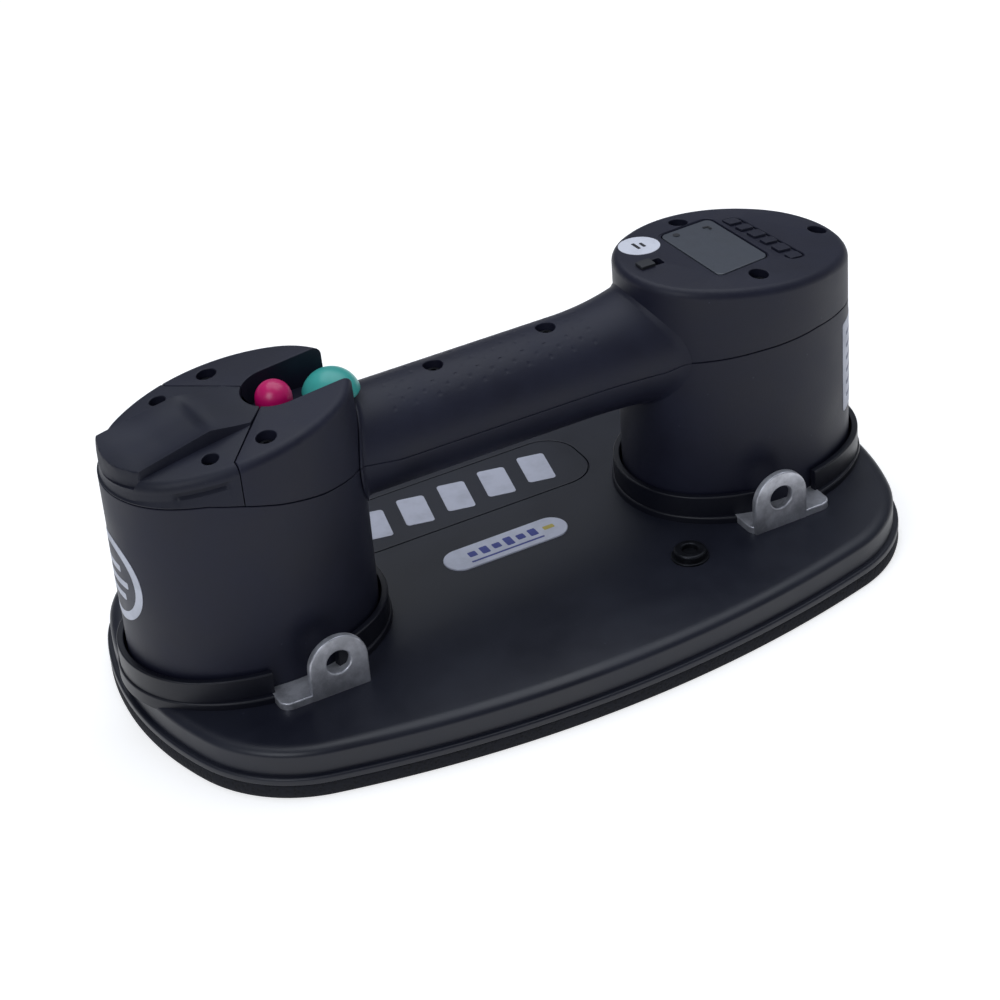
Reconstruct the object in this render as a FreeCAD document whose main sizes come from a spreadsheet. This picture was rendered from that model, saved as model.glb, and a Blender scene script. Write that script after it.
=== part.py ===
import FreeCAD, Part
import Sketcher
import math
import os

# Battery suction lifter: an oblong suction plate with a foam seal, two oval towers and a round grip
# between them. The battery lifts out of the left tower, the buttons sit in a slot of the same tower,
# and the right tower holds the pump and the gauge.
# Frame: X along the grip, Y across it, Z up, origin under the middle of the seal. Millimetres.

V = FreeCAD.Vector
Z_AXIS = V(0, 0, 1)
doc = FreeCAD.newDocument("SuctionLifter")
sheet = doc.addObject("Spreadsheet::Sheet", "Sizes")

SIZES = [
    # suction plate, from the floor up
    ("plate_length", 300.0),
    ("plate_width", 171.0),
    ("plate_side_arc", 515.0),
    ("plate_end_arc", 123.0),
    ("plate_corner_arc", 50.0),
    ("foam_shown", 5.2),
    ("foam_seat", 3.8),
    ("foam_inset", 3.8),
    ("foam_band", 20.0),
    ("lip_height", 3.0),
    ("lip_ledge", 2.0),
    ("lip_round", 0.9),
    ("band_height", 7.2),
    ("shoulder_height", 2.8),
    ("shoulder_width", 4.8),
    ("chamber_depth", 5.0),
    ("chamber_margin", 6.0),
    ("rib_thickness", 2.4),
    ("rib_pitch", 41.4),
    # towers
    ("tower_spacing", 198.4),
    ("tower_length", 89.0),
    ("tower_width", 70.0),
    ("tower_end_arc", 31.0),
    ("tower_top", 109.5),
    ("top_slope", 6.8),
    ("top_round", 3.0),
    ("shell_wall", 2.6),
    ("tower_floor", 2.8),
    ("roof_level", 99.5),
    # parting line between the lower and the upper shell
    ("part_left_outer", 97.5),
    ("part_left_inner", 83.6),
    ("part_right_inner", 82.4),
    ("part_right_outer", 87.4),
    ("parting_step", 8.0),
    # grip
    ("grip_diameter", 39.0),
    ("grip_level", 81.8),
    ("grip_channel", 30.0),
    ("flare_start", 28.0),
    ("flare_grow", 6.5),
    ("flare_lift", 5.8),
    # collars that hold the tower feet
    ("collar_gap", 0.9),
    ("collar_wall", 2.5),
    ("collar_height", 10.8),
    ("ledge_width", 2.2),
    ("ledge_end", 0.7),
    ("ledge_height", 2.6),
    # lugs
    ("lug_centre", 89.0),
    ("lug_face", 46.5),
    ("lug_width", 22.0),
    ("lug_height", 22.5),
    ("lug_thickness", 2.7),
    ("lug_eye", 9.0),
    ("lug_eye_level", 12.3),
    ("lug_tail", 11.0),
    ("lug_nose", 1.2),
    ("lug_reach", 24.0),
    ("lug_corner", 4.0),
    ("lug_gap", 1.4),
    ("lug_screw", 5.0),
    ("lug_screw_x", 88.2),
    ("lug_screw_y", 29.0),
    # battery
    ("seam_gap", 0.3),
    ("seam_outer", 112.0),
    ("seam_inner", 90.0),
    ("seam_inner_half", 8.0),
    ("seam_side", 33.0),
    ("bay_gap", 0.8),
    ("bay_wall", 2.0),
    ("bay_step", 2.0),
    ("bay_inset", 0.4),
    ("bay_wall_top", 86.0),
    ("shelf_half", 14.0),
    ("case_wall", 1.4),
    ("case_bottom", 22.0),
    ("case_top", 88.0),
    ("case_setback", 1.0),
    ("case_nose_setback", 5.0),
    ("case_nose_spread", 4.5),
    ("cell_play", 0.25),
    ("blade_length", 4.0),
    ("blade_thickness", 0.8),
    ("blade_height", 9.0),
    ("blade_y", 1.8),
    ("leaf_thickness", 0.6),
    ("leaf_height", 6.0),
    ("cell_diameter", 18.2),
    ("cell_height", 63.0),
    ("cell_pitch", 19.0),
    ("cell_row", 107.5),
    ("tab_outer", 139.5),
    ("tab_ridge", 108.0),
    ("tab_inner", 98.0),
    ("tab_width", 31.0),
    ("tab_rise", 4.6),
    # buttons
    ("slot_half", 12.0),
    ("slot_centre", 81.0),
    ("slot_floor", 102.5),
    ("slot_runout", 4.0),
    ("red_x", 83.6),
    ("red_radius", 6.4),
    ("red_base", 107.0),
    ("red_dome", 6.3),
    ("green_x", 64.5),
    ("green_radius", 10.3),
    ("green_base", 105.2),
    ("green_dome", 7.4),
    ("button_lift", 2.2),
    ("plunger_radius", 2.0),
    ("plunger_top", 90.7),
    ("valve_radius", 7.0),
    ("switch_width", 12.0),
    ("stem_radius", 3.0),
    ("stem_gap", 0.3),
    ("stem_end", 93.0),
    ("flange_radius", 5.0),
    ("flange_height", 1.6),
    ("spring_radius", 3.9),
    ("spring_wire", 0.5),
    ("spring_turns", 4.0),
    ("spring_seat", 86.0),
    ("switch_bottom", 62.0),
    # gauge, unit switch and screws in the tower tops
    ("window_length", 38.5),
    ("window_y", 2.0),
    ("window_rim", 1.8),
    ("window_width", 24.0),
    ("window_offset", -3.5),
    ("window_thickness", 1.2),
    ("unit_switch_x", 33.0),
    ("unit_slot_length", 9.0),
    ("unit_slot_width", 4.4),
    ("unit_slot_depth", 2.4),
    ("unit_knob_length", 4.2),
    ("unit_knob_rise", 1.2),
    ("unit_knob_gap", 0.6),
    ("gauge_height", 7.3),
    ("screw_head", 3.7),
    ("screw_head_height", 3.0),
    ("screw_sink", 4.2),
    ("screw_shank", 1.9),
    ("thread_bite", 0.15),
    ("hole_play", 0.3),
    ("screw_end_play", 2.0),
    ("cap_screw_length", 24.0),
    ("lug_screw_head", 3.6),
    ("lug_screw_height", 2.2),
    ("boss_radius", 4.4),
    ("boss_level", 86.0),
    ("boss_joint", 88.0),
    ("foot_boss", 16.0),
    ("screw_reach", 14.0),
    ("grip_screw_bite", 12.0),
    ("base_screw_bite", 14.0),
    ("tower_screw_x", 3.6),
    ("tower_screw_y", 25.0),
    ("end_screw_x", 39.4),
    ("inner_screw_x", 31.2),
    ("inner_screw_y", 17.0),
    ("grip_screw_x", 22.3),
    ("cap_screw_margin", 8.1),
    ("cap_screw_y", 23.6),
    # plug, badge and inlay on the plate
    ("plug_x", 51.2),
    ("plug_y", 44.4),
    ("plug_radius", 5.2),
    ("plug_height", 2.6),
    ("plug_shank", 3.0),
    ("plug_reach", 7.0),
    ("plug_socket", 2.5),
    ("washer_radius", 6.2),
    ("washer_thickness", 0.8),
    ("inlay_length", 107.0),
    ("inlay_width", 33.5),
    ("inlay_y", 39.2),
    ("inlay_corner", 13.0),
    ("inlay_thickness", 1.2),
    ("inlay_gap", 0.35),
    ("badge_length", 50.0),
    ("badge_width", 13.2),
    ("badge_thickness", 0.7),
    # pump side
    ("motor_radius", 14.0),
    ("motor_x", 107.0),
    ("motor_height", 38.0),
    ("motor_bore", 20.0),
    ("pump_radius", 19.0),
    ("pump_height", 20.0),
    ("pump_bore", 9.0),
    ("pump_room", 12.0),
    ("port_level", 10.0),
    ("port_reach", 4.0),
    ("port_stub", 4.6),
    ("shaft_radius", 1.5),
    ("shaft_gap", 0.06),
    ("crank_radius", 6.0),
    ("crank_offset", 2.0),
    ("crank_height", 3.0),
    ("crank_pin", 1.0),
    ("crank_gap", 2.0),
    ("hose_radius", 3.4),
    ("hose_bore", 1.8),
    ("hose_bend", 8.0),
    ("hose_x", 72.0),
    ("port_radius", 3.6),
    ("board_length", 46.0),
    ("board_width", 40.0),
    ("board_thickness", 1.6),
    ("filter_radius", 8.4),
    ("filter_thickness", 1.5),
]
for row, (alias, number) in enumerate(SIZES, 1):
    sheet.set("A%d" % row, alias)
    sheet.set("B%d" % row, str(number))
    sheet.setAlias("B%d" % row, alias)
doc.recompute()
ALIASES = [alias for alias, number in SIZES]


# ---- expressions ----------------------------------------------------------------------------------

def words(expression):
    """The expression with every size name pointed at the sheet."""
    text = []
    word = ""
    for letter in expression + " ":
        if letter.isalnum() or letter == "_":
            word += letter
            continue
        text.append("Sizes." + word if word in ALIASES else word)
        text.append(letter)
        word = ""
    return "".join(text).strip()


def num(expression):
    """The present value of an expression."""
    return float(sheet.evalExpression(words(expression)))


def bind(thing, prop, expression):
    thing.setExpression(prop, words(expression))


PLATE_TOP = "(foam_shown + lip_height + band_height + shoulder_height)"
PLATE_UNDER = "(foam_shown + foam_seat)"
CHAMBER_ROOF = "(foam_shown + foam_seat + chamber_depth)"
TOWER_X = "(tower_spacing / 2)"
PILOT = "(screw_shank - thread_bite)"
FLOOR_TOP = "(foam_shown + lip_height + band_height + shoulder_height + tower_floor)"


def top_at(reach):
    """Height of a tower's sloping top at a distance outward of the tower's centre."""
    return "(tower_top - tan(top_slope) * (%s))" % reach


# ---- sketches ---------------------------------------------------------------------------------------

def new_body(label):
    body = doc.addObject("PartDesign::Body", label)
    body.Label = label
    return body


def origin_plane(body, role):
    return [item for item in body.Origin.OriginFeatures if item.Role == role][0]


def sketch(body, level="0", role="XY_Plane", shift=("0", "0"), lean=0):
    """A sketch on one of the body's own planes. Lean tips it about Y by the slope of the tower tops."""
    sk = body.newObject("Sketcher::SketchObject", "Sketch")
    sk.AttachmentSupport = [(origin_plane(body, role), "")]
    sk.MapMode = "FlatFace"
    if lean:
        turn = FreeCAD.Rotation(V(0, lean, 0), num("top_slope"))
        sk.AttachmentOffset = FreeCAD.Placement(V(0, 0, 0), turn)
        bind(sk, "AttachmentOffset.Rotation.Angle", "top_slope")
    for axis, expression in zip("xyz", (shift[0], shift[1], level)):
        bind(sk, "AttachmentOffset.Base." + axis, expression)
    return sk


def fix(sk, kind, refs, expression):
    """One driving dimension, bound to the sheet."""
    place = sk.addConstraint(Sketcher.Constraint(kind, *refs, num(expression)))
    bind(sk, "Constraints[%d]" % place, expression)


def polygon(sk, points):
    """A closed outline of straight edges through points given as expressions."""
    spots = [V(num(x), num(y), 0) for x, y in points]
    first = sk.GeometryCount
    count = len(spots)
    lines = [Part.LineSegment(spots[i], spots[(i + 1) % count]) for i in range(count)]
    sk.addGeometry(lines, False)
    for i in range(count):
        following = first + (i + 1) % count
        sk.addConstraint(Sketcher.Constraint("Coincident", first + i, 2, following, 1))
        fix(sk, "DistanceX", (-1, 1, first + i, 1), points[i][0])
        fix(sk, "DistanceY", (-1, 1, first + i, 1), points[i][1])
    return sk


def rectangle(sk, x0, x1, y0, y1):
    return polygon(sk, [(x0, y0), (x1, y0), (x1, y1), (x0, y1)])


def circle(sk, x, y, radius):
    index = sk.addGeometry(Part.Circle(V(num(x), num(y), 0), Z_AXIS, num(radius)), False)
    fix(sk, "Radius", (index,), radius)
    fix(sk, "DistanceX", (-1, 1, index, 3), x)
    fix(sk, "DistanceY", (-1, 1, index, 3), y)
    return sk


def tangent_chain(sk, first, count):
    for i in range(count):
        following = first + (i + 1) % count
        sk.addConstraint(Sketcher.Constraint("Tangent", first + i, 2, following, 1))


def oval(sk, half_x, half_y, end_arc):
    """Four tangent arcs about the sketch's origin, with small end arcs and large side arcs."""
    a = num(half_x)
    b = num(half_y)
    r = num(end_arc)
    reach = a - r
    side = (reach * reach + b * b - r * r) / (2 * (b - r))
    turn = math.atan2(side - b, reach)
    first = sk.GeometryCount
    arcs = [
        (V(reach, 0, 0), r, -turn, turn),
        (V(0, b - side, 0), side, turn, math.pi - turn),
        (V(-reach, 0, 0), r, math.pi - turn, math.pi + turn),
        (V(0, side - b, 0), side, math.pi + turn, 2 * math.pi - turn),
    ]
    for centre, radius, start, end in arcs:
        sk.addGeometry(Part.ArcOfCircle(Part.Circle(centre, Z_AXIS, radius), start, end), False)
    tangent_chain(sk, first, 4)
    sk.addConstraint(Sketcher.Constraint("PointOnObject", first, 3, -1))
    sk.addConstraint(Sketcher.Constraint("PointOnObject", first + 2, 3, -1))
    sk.addConstraint(Sketcher.Constraint("PointOnObject", first + 1, 3, -2))
    sk.addConstraint(Sketcher.Constraint("Equal", first, first + 2))
    fix(sk, "Radius", (first,), end_arc)
    fix(sk, "DistanceX", (-1, 1, first, 3), "(%s) - (%s)" % (half_x, end_arc))
    side_text = "((({a}) - ({r})) ^ 2 + ({b}) ^ 2 - ({r}) ^ 2) / (2 * (({b}) - ({r})))"
    fix(sk, "Radius", (first + 1,), side_text.format(a=half_x, b=half_y, r=end_arc))
    return sk


def tower_oval(sk, grow="0"):
    """The outline of a tower, grown or shrunk all round."""
    return oval(
        sk,
        "tower_length / 2 + (%s)" % grow,
        "tower_width / 2 + (%s)" % grow,
        "tower_end_arc + (%s)" % grow,
    )


def plate_outline(sk, inset="0"):
    """Eight tangent arcs: bulging long sides, blunt ends and rounded corners, moved inward by inset."""
    gap = num(inset)
    a = num("plate_length / 2")
    b = num("plate_width / 2")
    side = num("plate_side_arc")
    end = num("plate_end_arc")
    corner = num("plate_corner_arc")
    # The corner's centre is where it touches both the side arc and the end arc from inside.
    low = side - b
    far = a - end
    near_side = side - corner
    near_end = end - corner
    span = math.hypot(far, low)
    along = (near_side ** 2 - near_end ** 2 + span ** 2) / (2 * span)
    off = math.sqrt(near_side ** 2 - along ** 2)
    ux = far / span
    uy = low / span
    cx = along * ux + off * uy
    cy = along * uy - off * ux - low
    if cy < 0:
        cx = along * ux - off * uy
        cy = along * uy + off * ux - low
    turn_end = math.atan2(cy, cx - far)
    turn_side = math.atan2(cy + low, cx)
    first = sk.GeometryCount
    pi = math.pi
    arcs = [
        (far, 0, end, -turn_end, turn_end),
        (cx, cy, corner, turn_end, turn_side),
        (0, -low, side, turn_side, pi - turn_side),
        (-cx, cy, corner, pi - turn_side, pi - turn_end),
        (-far, 0, end, pi - turn_end, pi + turn_end),
        (-cx, -cy, corner, pi + turn_end, pi + turn_side),
        (0, low, side, pi + turn_side, 2 * pi - turn_side),
        (cx, -cy, corner, 2 * pi - turn_side, 2 * pi - turn_end),
    ]
    for x, y, radius, start, stop in arcs:
        ring = Part.Circle(V(x, y, 0), Z_AXIS, radius - gap)
        sk.addGeometry(Part.ArcOfCircle(ring, start, stop), False)
    tangent_chain(sk, first, 8)
    for index, axis in ((0, -1), (4, -1), (2, -2), (6, -2)):
        sk.addConstraint(Sketcher.Constraint("PointOnObject", first + index, 3, axis))
    for index in (3, 5, 7):
        sk.addConstraint(Sketcher.Constraint("Equal", first + 1, first + index))
    fix(sk, "Radius", (first + 1,), "plate_corner_arc - (%s)" % inset)
    fix(sk, "Radius", (first,), "plate_end_arc - (%s)" % inset)
    fix(sk, "Radius", (first + 2,), "plate_side_arc - (%s)" % inset)
    fix(sk, "Radius", (first + 4,), "plate_end_arc - (%s)" % inset)
    fix(sk, "Radius", (first + 6,), "plate_side_arc - (%s)" % inset)
    fix(sk, "DistanceX", (-1, 1, first, 3), "plate_length / 2 - plate_end_arc")
    fix(sk, "DistanceX", (-1, 1, first + 4, 3), "plate_end_arc - plate_length / 2")
    fix(sk, "DistanceY", (-1, 1, first + 2, 3), "plate_width / 2 - plate_side_arc")
    fix(sk, "DistanceY", (-1, 1, first + 6, 3), "plate_side_arc - plate_width / 2")
    return sk


def stadium(sk, length, width):
    """A straight bar with half-round ends, about the sketch's origin."""
    r = num(width) / 2
    reach = num(length) / 2 - r
    half = math.pi / 2
    first = sk.GeometryCount
    right = Part.Circle(V(reach, 0, 0), Z_AXIS, r)
    left = Part.Circle(V(-reach, 0, 0), Z_AXIS, r)
    sk.addGeometry(Part.ArcOfCircle(right, -half, half), False)
    sk.addGeometry(Part.LineSegment(V(reach, r, 0), V(-reach, r, 0)), False)
    sk.addGeometry(Part.ArcOfCircle(left, half, 3 * half), False)
    sk.addGeometry(Part.LineSegment(V(-reach, -r, 0), V(reach, -r, 0)), False)
    tangent_chain(sk, first, 4)
    sk.addConstraint(Sketcher.Constraint("PointOnObject", first, 3, -1))
    sk.addConstraint(Sketcher.Constraint("PointOnObject", first + 2, 3, -1))
    fix(sk, "Radius", (first,), "(%s) / 2" % width)
    fix(sk, "DistanceX", (-1, 1, first, 3), "(%s) / 2 - (%s) / 2" % (length, width))
    fix(sk, "DistanceX", (-1, 1, first + 2, 3), "(%s) / 2 - (%s) / 2" % (width, length))
    return sk


# ---- features ---------------------------------------------------------------------------------------

def pad(body, sk, length, down=False):
    feature = body.newObject("PartDesign::Pad", "Pad")
    feature.Profile = sk
    feature.Reversed = down
    bind(feature, "Length", length)
    return feature


def pocket(body, sk, length=None, up=False):
    """A pocket against the sketch's normal, or along it with up. No length means through all."""
    feature = body.newObject("PartDesign::Pocket", "Pocket")
    feature.Profile = sk
    feature.Reversed = up
    if length is None:
        feature.Type = 1
    else:
        bind(feature, "Length", length)
    return feature


def loft(body, sketches, ruled):
    feature = body.newObject("PartDesign::AdditiveLoft", "Loft")
    feature.Profile = sketches[0]
    feature.Sections = sketches[1:]
    feature.Ruled = ruled
    return feature


def fillet(body, base, test, radius):
    """Rounds the edges of the base feature that pass a test on their vertices."""
    doc.recompute()
    names = []
    for index, edge in enumerate(base.Shape.Edges, 1):
        ends = [edge.valueAt(t) for t in (edge.FirstParameter, edge.LastParameter)]
        middle = edge.valueAt((edge.FirstParameter + edge.LastParameter) / 2)
        if all(test(point) for point in ends + [middle]):
            names.append("Edge%d" % index)
    feature = body.newObject("PartDesign::Fillet", "Fillet")
    feature.Base = (base, names)
    bind(feature, "Radius", radius)
    return feature


def place(thing, at):
    for axis, expression in zip("xyz", at):
        bind(thing, "Placement.Base." + axis, expression)


def cylinder(radius, height, at, label="Cylinder"):
    thing = doc.addObject("Part::Cylinder", "Cylinder")
    thing.Label = label
    bind(thing, "Radius", radius)
    bind(thing, "Height", height)
    place(thing, at)
    return thing


def block(size, at, label="Block"):
    """A box given by its sizes and the middle of its bottom face."""
    thing = doc.addObject("Part::Box", "Box")
    thing.Label = label
    for prop, expression in zip(("Length", "Width", "Height"), size):
        bind(thing, prop, expression)
    x = "(%s) - (%s) / 2" % (at[0], size[0])
    y = "(%s) - (%s) / 2" % (at[1], size[1])
    place(thing, (x, y, at[2]))
    return thing


def cut(label, base, tool):
    thing = doc.addObject("Part::Cut", "Cut")
    thing.Label = label
    thing.Base = base
    thing.Tool = tool
    return thing


def fuse(label, things):
    thing = doc.addObject("Part::MultiFuse", "Fuse")
    thing.Label = label
    thing.Shapes = things
    return thing


def group(label, things):
    thing = doc.addObject("Part::Compound", "Group")
    thing.Label = label
    thing.Links = things
    return thing


# ---- suction plate ----------------------------------------------------------------------------------

SIDES = (-1, 1)
COLLAR = "collar_gap + collar_wall"


def lug_span(side):
    """Inner and outer ends of a lug's foot along X."""
    inner = "%d * (lug_centre - lug_width / 2 - lug_nose)" % side
    outer = "%d * (lug_centre + lug_width / 2 + lug_tail)" % side
    return inner, outer


def base_screw_spots():
    spots = []
    for side in SIDES:
        for hand in SIDES:
            x = "%d * (tower_spacing / 2 - tower_screw_x)" % side
            spots.append((x, "%d * tower_screw_y" % hand))
            x = "%d * (tower_spacing / 2 - inner_screw_x)" % side
            spots.append((x, "%d * inner_screw_y" % hand))
    return spots


def make_base_plate():
    body = new_body("base_plate")
    lip = pad(body, plate_outline(sketch(body, "foam_shown")), "lip_height")
    fillet(body, lip, lambda point: True, "lip_round")
    band = plate_outline(sketch(body, "foam_shown"), "lip_ledge")
    pad(body, band, "lip_height + band_height")
    low = plate_outline(sketch(body, "foam_shown + lip_height + band_height"), "lip_ledge")
    high = plate_outline(sketch(body, PLATE_TOP), "lip_ledge + shoulder_width")
    loft(body, [low, high], True)
    for side in SIDES:
        spot = ("%d * tower_spacing / 2" % side, "0")
        ledge = sketch(body, "foam_shown + lip_height + band_height", shift=spot)
        oval(
            ledge,
            "tower_length / 2 + %s + ledge_end" % COLLAR,
            "tower_width / 2 + %s + ledge_width" % COLLAR,
            "tower_end_arc + %s + ledge_end" % COLLAR,
        )
        pad(body, ledge, "shoulder_height + ledge_height")
    for side in SIDES:
        spot = ("%d * tower_spacing / 2" % side, "0")
        collar = sketch(body, "foam_shown + lip_height + band_height", shift=spot)
        pad(body, tower_oval(collar, COLLAR), "shoulder_height + collar_height")
    for side in SIDES:
        spot = ("%d * tower_spacing / 2" % side, "0")
        socket = sketch(body, PLATE_TOP, shift=spot)
        pocket(body, tower_oval(socket, "collar_gap"), up=True)
    for side in SIDES:
        inner, outer = lug_span(side)
        x0 = "%s - %d * lug_gap" % (inner, side)
        x1 = "%s + %d * lug_gap" % (outer, side)
        window = rectangle(sketch(body, PLATE_TOP), x0, x1, "-plate_width / 2", "-lug_reach")
        pocket(body, window, up=True)
    seat = plate_outline(sketch(body, "foam_shown"), "foam_inset")
    pocket(body, seat, "foam_seat", up=True)
    rim = "foam_inset + foam_band + chamber_margin"
    chamber = plate_outline(sketch(body, PLATE_UNDER), rim)
    pocket(body, chamber, "chamber_depth", up=True)
    ribs = sketch(body, PLATE_UNDER)
    steps = int(num("(plate_length / 2 - foam_inset - foam_band - rib_pitch) / rib_pitch"))
    for step in range(-steps, steps + 1):
        x0 = "%d * rib_pitch - rib_thickness / 2" % step
        x1 = "%d * rib_pitch + rib_thickness / 2" % step
        reach = "(plate_width / 2 - foam_inset - foam_band)"
        rectangle(ribs, x0, x1, "-" + reach, reach)
    pad(body, ribs, "chamber_depth")
    holes = sketch(body, "0")
    circle(holes, "plug_x", "-plug_y", "plug_shank + hole_play")
    circle(holes, "hose_x", "0", "port_radius")
    circle(holes, "-red_x", "0", "port_radius")
    for x, y in base_screw_spots():
        circle(holes, x, y, "screw_shank + hole_play")
    for side in SIDES:
        circle(holes, "%d * lug_screw_x" % side, "-lug_screw_y", "lug_screw / 2 + hole_play")
    pocket(body, holes, up=True)
    inlay = sketch(body, PLATE_TOP, shift=("0", "inlay_y"))
    rectangle(inlay, "-inlay_length / 2", "inlay_length / 2", "-inlay_width / 2", "inlay_width / 2")
    recess = pocket(body, inlay, "inlay_thickness")
    half_x = num("inlay_length / 2")
    half_y = num("inlay_width / 2")
    middle = num("inlay_y")
    deep = num(PLATE_TOP + " - inlay_thickness / 2")

    def corner(point):
        flush = abs(abs(point.x) - half_x) < 0.01 and abs(abs(point.y - middle) - half_y) < 0.01
        return flush and abs(point.z - deep) < num("inlay_thickness")

    fillet(body, recess, corner, "inlay_corner")
    return body


def make_foam_seal():
    body = new_body("foam_seal")
    foam = sketch(body)
    plate_outline(foam, "foam_inset + seam_gap")
    plate_outline(foam, "foam_inset + foam_band")
    pad(body, foam, PLATE_UNDER)
    return body


def make_inlay_panel():
    body = new_body("inlay_panel")
    outline = sketch(body, PLATE_TOP + " - inlay_thickness", shift=("0", "inlay_y"))
    x = "(inlay_length / 2 - inlay_gap)"
    y = "(inlay_width / 2 - inlay_gap)"
    plate = pad(body, rectangle(outline, "-" + x, x, "-" + y, y), "inlay_thickness")
    half_x = num(x)
    half_y = num(y)
    middle = num("inlay_y")

    def corner(point):
        return abs(abs(point.x) - half_x) < 0.01 and abs(abs(point.y - middle) - half_y) < 0.01

    fillet(body, plate, corner, "inlay_corner - inlay_gap")
    return body


def make_badge_plate():
    body = new_body("badge_plate")
    pad(body, stadium(sketch(body, PLATE_TOP), "badge_length", "badge_width"), "badge_thickness")
    return body


def make_lug(label, side):
    """A bent bracket: a foot that reaches under the tower wall and an upright ear with an eye."""
    body = new_body(label)
    inner, outer = lug_span(side)
    foot = rectangle(sketch(body, PLATE_TOP), inner, outer, "-lug_face", "-lug_reach")
    sheet_metal = pad(body, foot, "lug_thickness")
    limit = num("lug_face")
    ends = (num(inner), num(outer))

    def front_corner(point):
        return abs(point.y + limit) < 0.01 and min(abs(point.x - end) for end in ends) < 0.01

    fillet(body, sheet_metal, front_corner, "lug_corner")
    near = "%d * (lug_centre - lug_width / 2)" % side
    far = "%d * (lug_centre + lug_width / 2)" % side
    shoulder = "%s + lug_height - lug_width / 2" % PLATE_TOP
    cheek = sketch(body, "lug_face - lug_thickness", "XZ_Plane")
    pad(body, rectangle(cheek, near, far, PLATE_TOP, shoulder), "lug_thickness")
    crown = sketch(body, "lug_face - lug_thickness", "XZ_Plane")
    pad(body, circle(crown, "%d * lug_centre" % side, shoulder, "lug_width / 2"), "lug_thickness")
    eye = sketch(body, "lug_face", "XZ_Plane")
    level = "%s + lug_eye_level" % PLATE_TOP
    pocket(body, circle(eye, "%d * lug_centre" % side, level, "lug_eye / 2"))
    holes = sketch(body, PLATE_TOP)
    circle(holes, "%d * lug_screw_x" % side, "-lug_screw_y", "lug_screw / 2 + hole_play")
    circle(holes, "%d * (tower_spacing / 2 - tower_screw_x)" % side, "-tower_screw_y", "screw_shank + hole_play")
    pocket(body, holes, up=True)
    return body


def pan_screw(x, y, level, length, head="screw_head", height="screw_head_height", shank="screw_shank"):
    """A pan-head screw: its head on a level and its shank going down from there."""
    cap = cylinder(head, height, (x, y, level))
    stem = cylinder(shank, length, (x, y, "(%s) - (%s)" % (level, length)))
    return fuse("Screw", [cap, stem])


def raised_screw(x, y, level, length, head="screw_head", height="screw_head_height", shank="screw_shank"):
    """The same screw put in from below."""
    cap = cylinder(head, height, (x, y, "(%s) - (%s)" % (level, height)))
    stem = cylinder(shank, length, (x, y, level))
    return fuse("Screw", [cap, stem])


def make_base_screws():
    length = "%s - %s + base_screw_bite - screw_end_play" % (PLATE_TOP, CHAMBER_ROOF)
    screws = [raised_screw(x, y, CHAMBER_ROOF, length) for x, y in base_screw_spots()]
    return group("base_screws", screws)


def make_lug_screws():
    length = "%s - %s + lug_thickness" % (PLATE_TOP, CHAMBER_ROOF)
    style = ("lug_screw_head", "lug_screw_height", "lug_screw / 2")
    screws = []
    for side in SIDES:
        x = "%d * lug_screw_x" % side
        screws.append(raised_screw(x, "-lug_screw_y", CHAMBER_ROOF, length, *style))
    return group("lug_screws", screws)


def make_plug():
    """A socket-head plug over a washer."""
    body = new_body("plug_screw")
    under = PLATE_TOP + " + washer_thickness"
    spot = ("plug_x", "-plug_y")
    head = pad(body, circle(sketch(body, under), *spot, "plug_radius"), "plug_height")
    crown = num(under + " + plug_height")
    fillet(body, head, lambda point: abs(point.z - crown) < 0.01, "0.5")
    shank = circle(sketch(body, under), *spot, "plug_shank")
    pad(body, shank, "plug_reach", down=True)
    hexagon = sketch(body, under + " + plug_height")
    points = []
    for step in range(6):
        x = "plug_x + plug_socket * cos(%d)" % (60 * step)
        y = "plug_socket * sin(%d) - plug_y" % (60 * step)
        points.append((x, y))
    pocket(body, polygon(hexagon, points), "plug_height * 0.7")
    washer = new_body("plug_washer")
    ring = sketch(washer, PLATE_TOP)
    circle(ring, *spot, "washer_radius")
    circle(ring, *spot, "plug_shank + hole_play")
    pad(washer, ring, "washer_thickness")
    return [body, washer]


# ---- shells -----------------------------------------------------------------------------------------

def parting_points():
    """The split between the shells, seen from the front: the grip's middle, then up to each side."""
    left = "-(tower_spacing / 2 + tower_length / 2)"
    right = "(tower_spacing / 2 + tower_length / 2)"
    inner = "(tower_spacing / 2 - tower_length / 2)"
    slope_left = "(part_left_outer - part_left_inner) / tower_length"
    slope_right = "(part_right_outer - part_right_inner) / tower_length"
    return [
        (left + " - tower_width", "part_left_outer + %s * tower_width" % slope_left),
        ("-" + inner, "part_left_inner"),
        ("-%s + parting_step" % inner, "grip_level"),
        ("%s - parting_step" % inner, "grip_level"),
        (inner, "part_right_inner"),
        (right + " + tower_width", "part_right_outer + %s * tower_width" % slope_right),
    ]


def split(body, keep_low, gap="0"):
    """Cuts a shell at the parting line, with a gap on the side that is cut away."""
    line = [(x, "%s + (%s)" % (z, gap)) for x, z in parting_points()]
    edge = "tower_top + tower_length" if keep_low else "-tower_length"
    outline = line + [(line[-1][0], edge), (line[0][0], edge)]
    side = sketch(body, "plate_width / 2", "XZ_Plane")
    pocket(body, polygon(side, outline))


def tower_base(body, side, level, length):
    spot = ("%d * tower_spacing / 2" % side, "0")
    return pad(body, tower_oval(sketch(body, level, shift=spot)), length)


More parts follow.
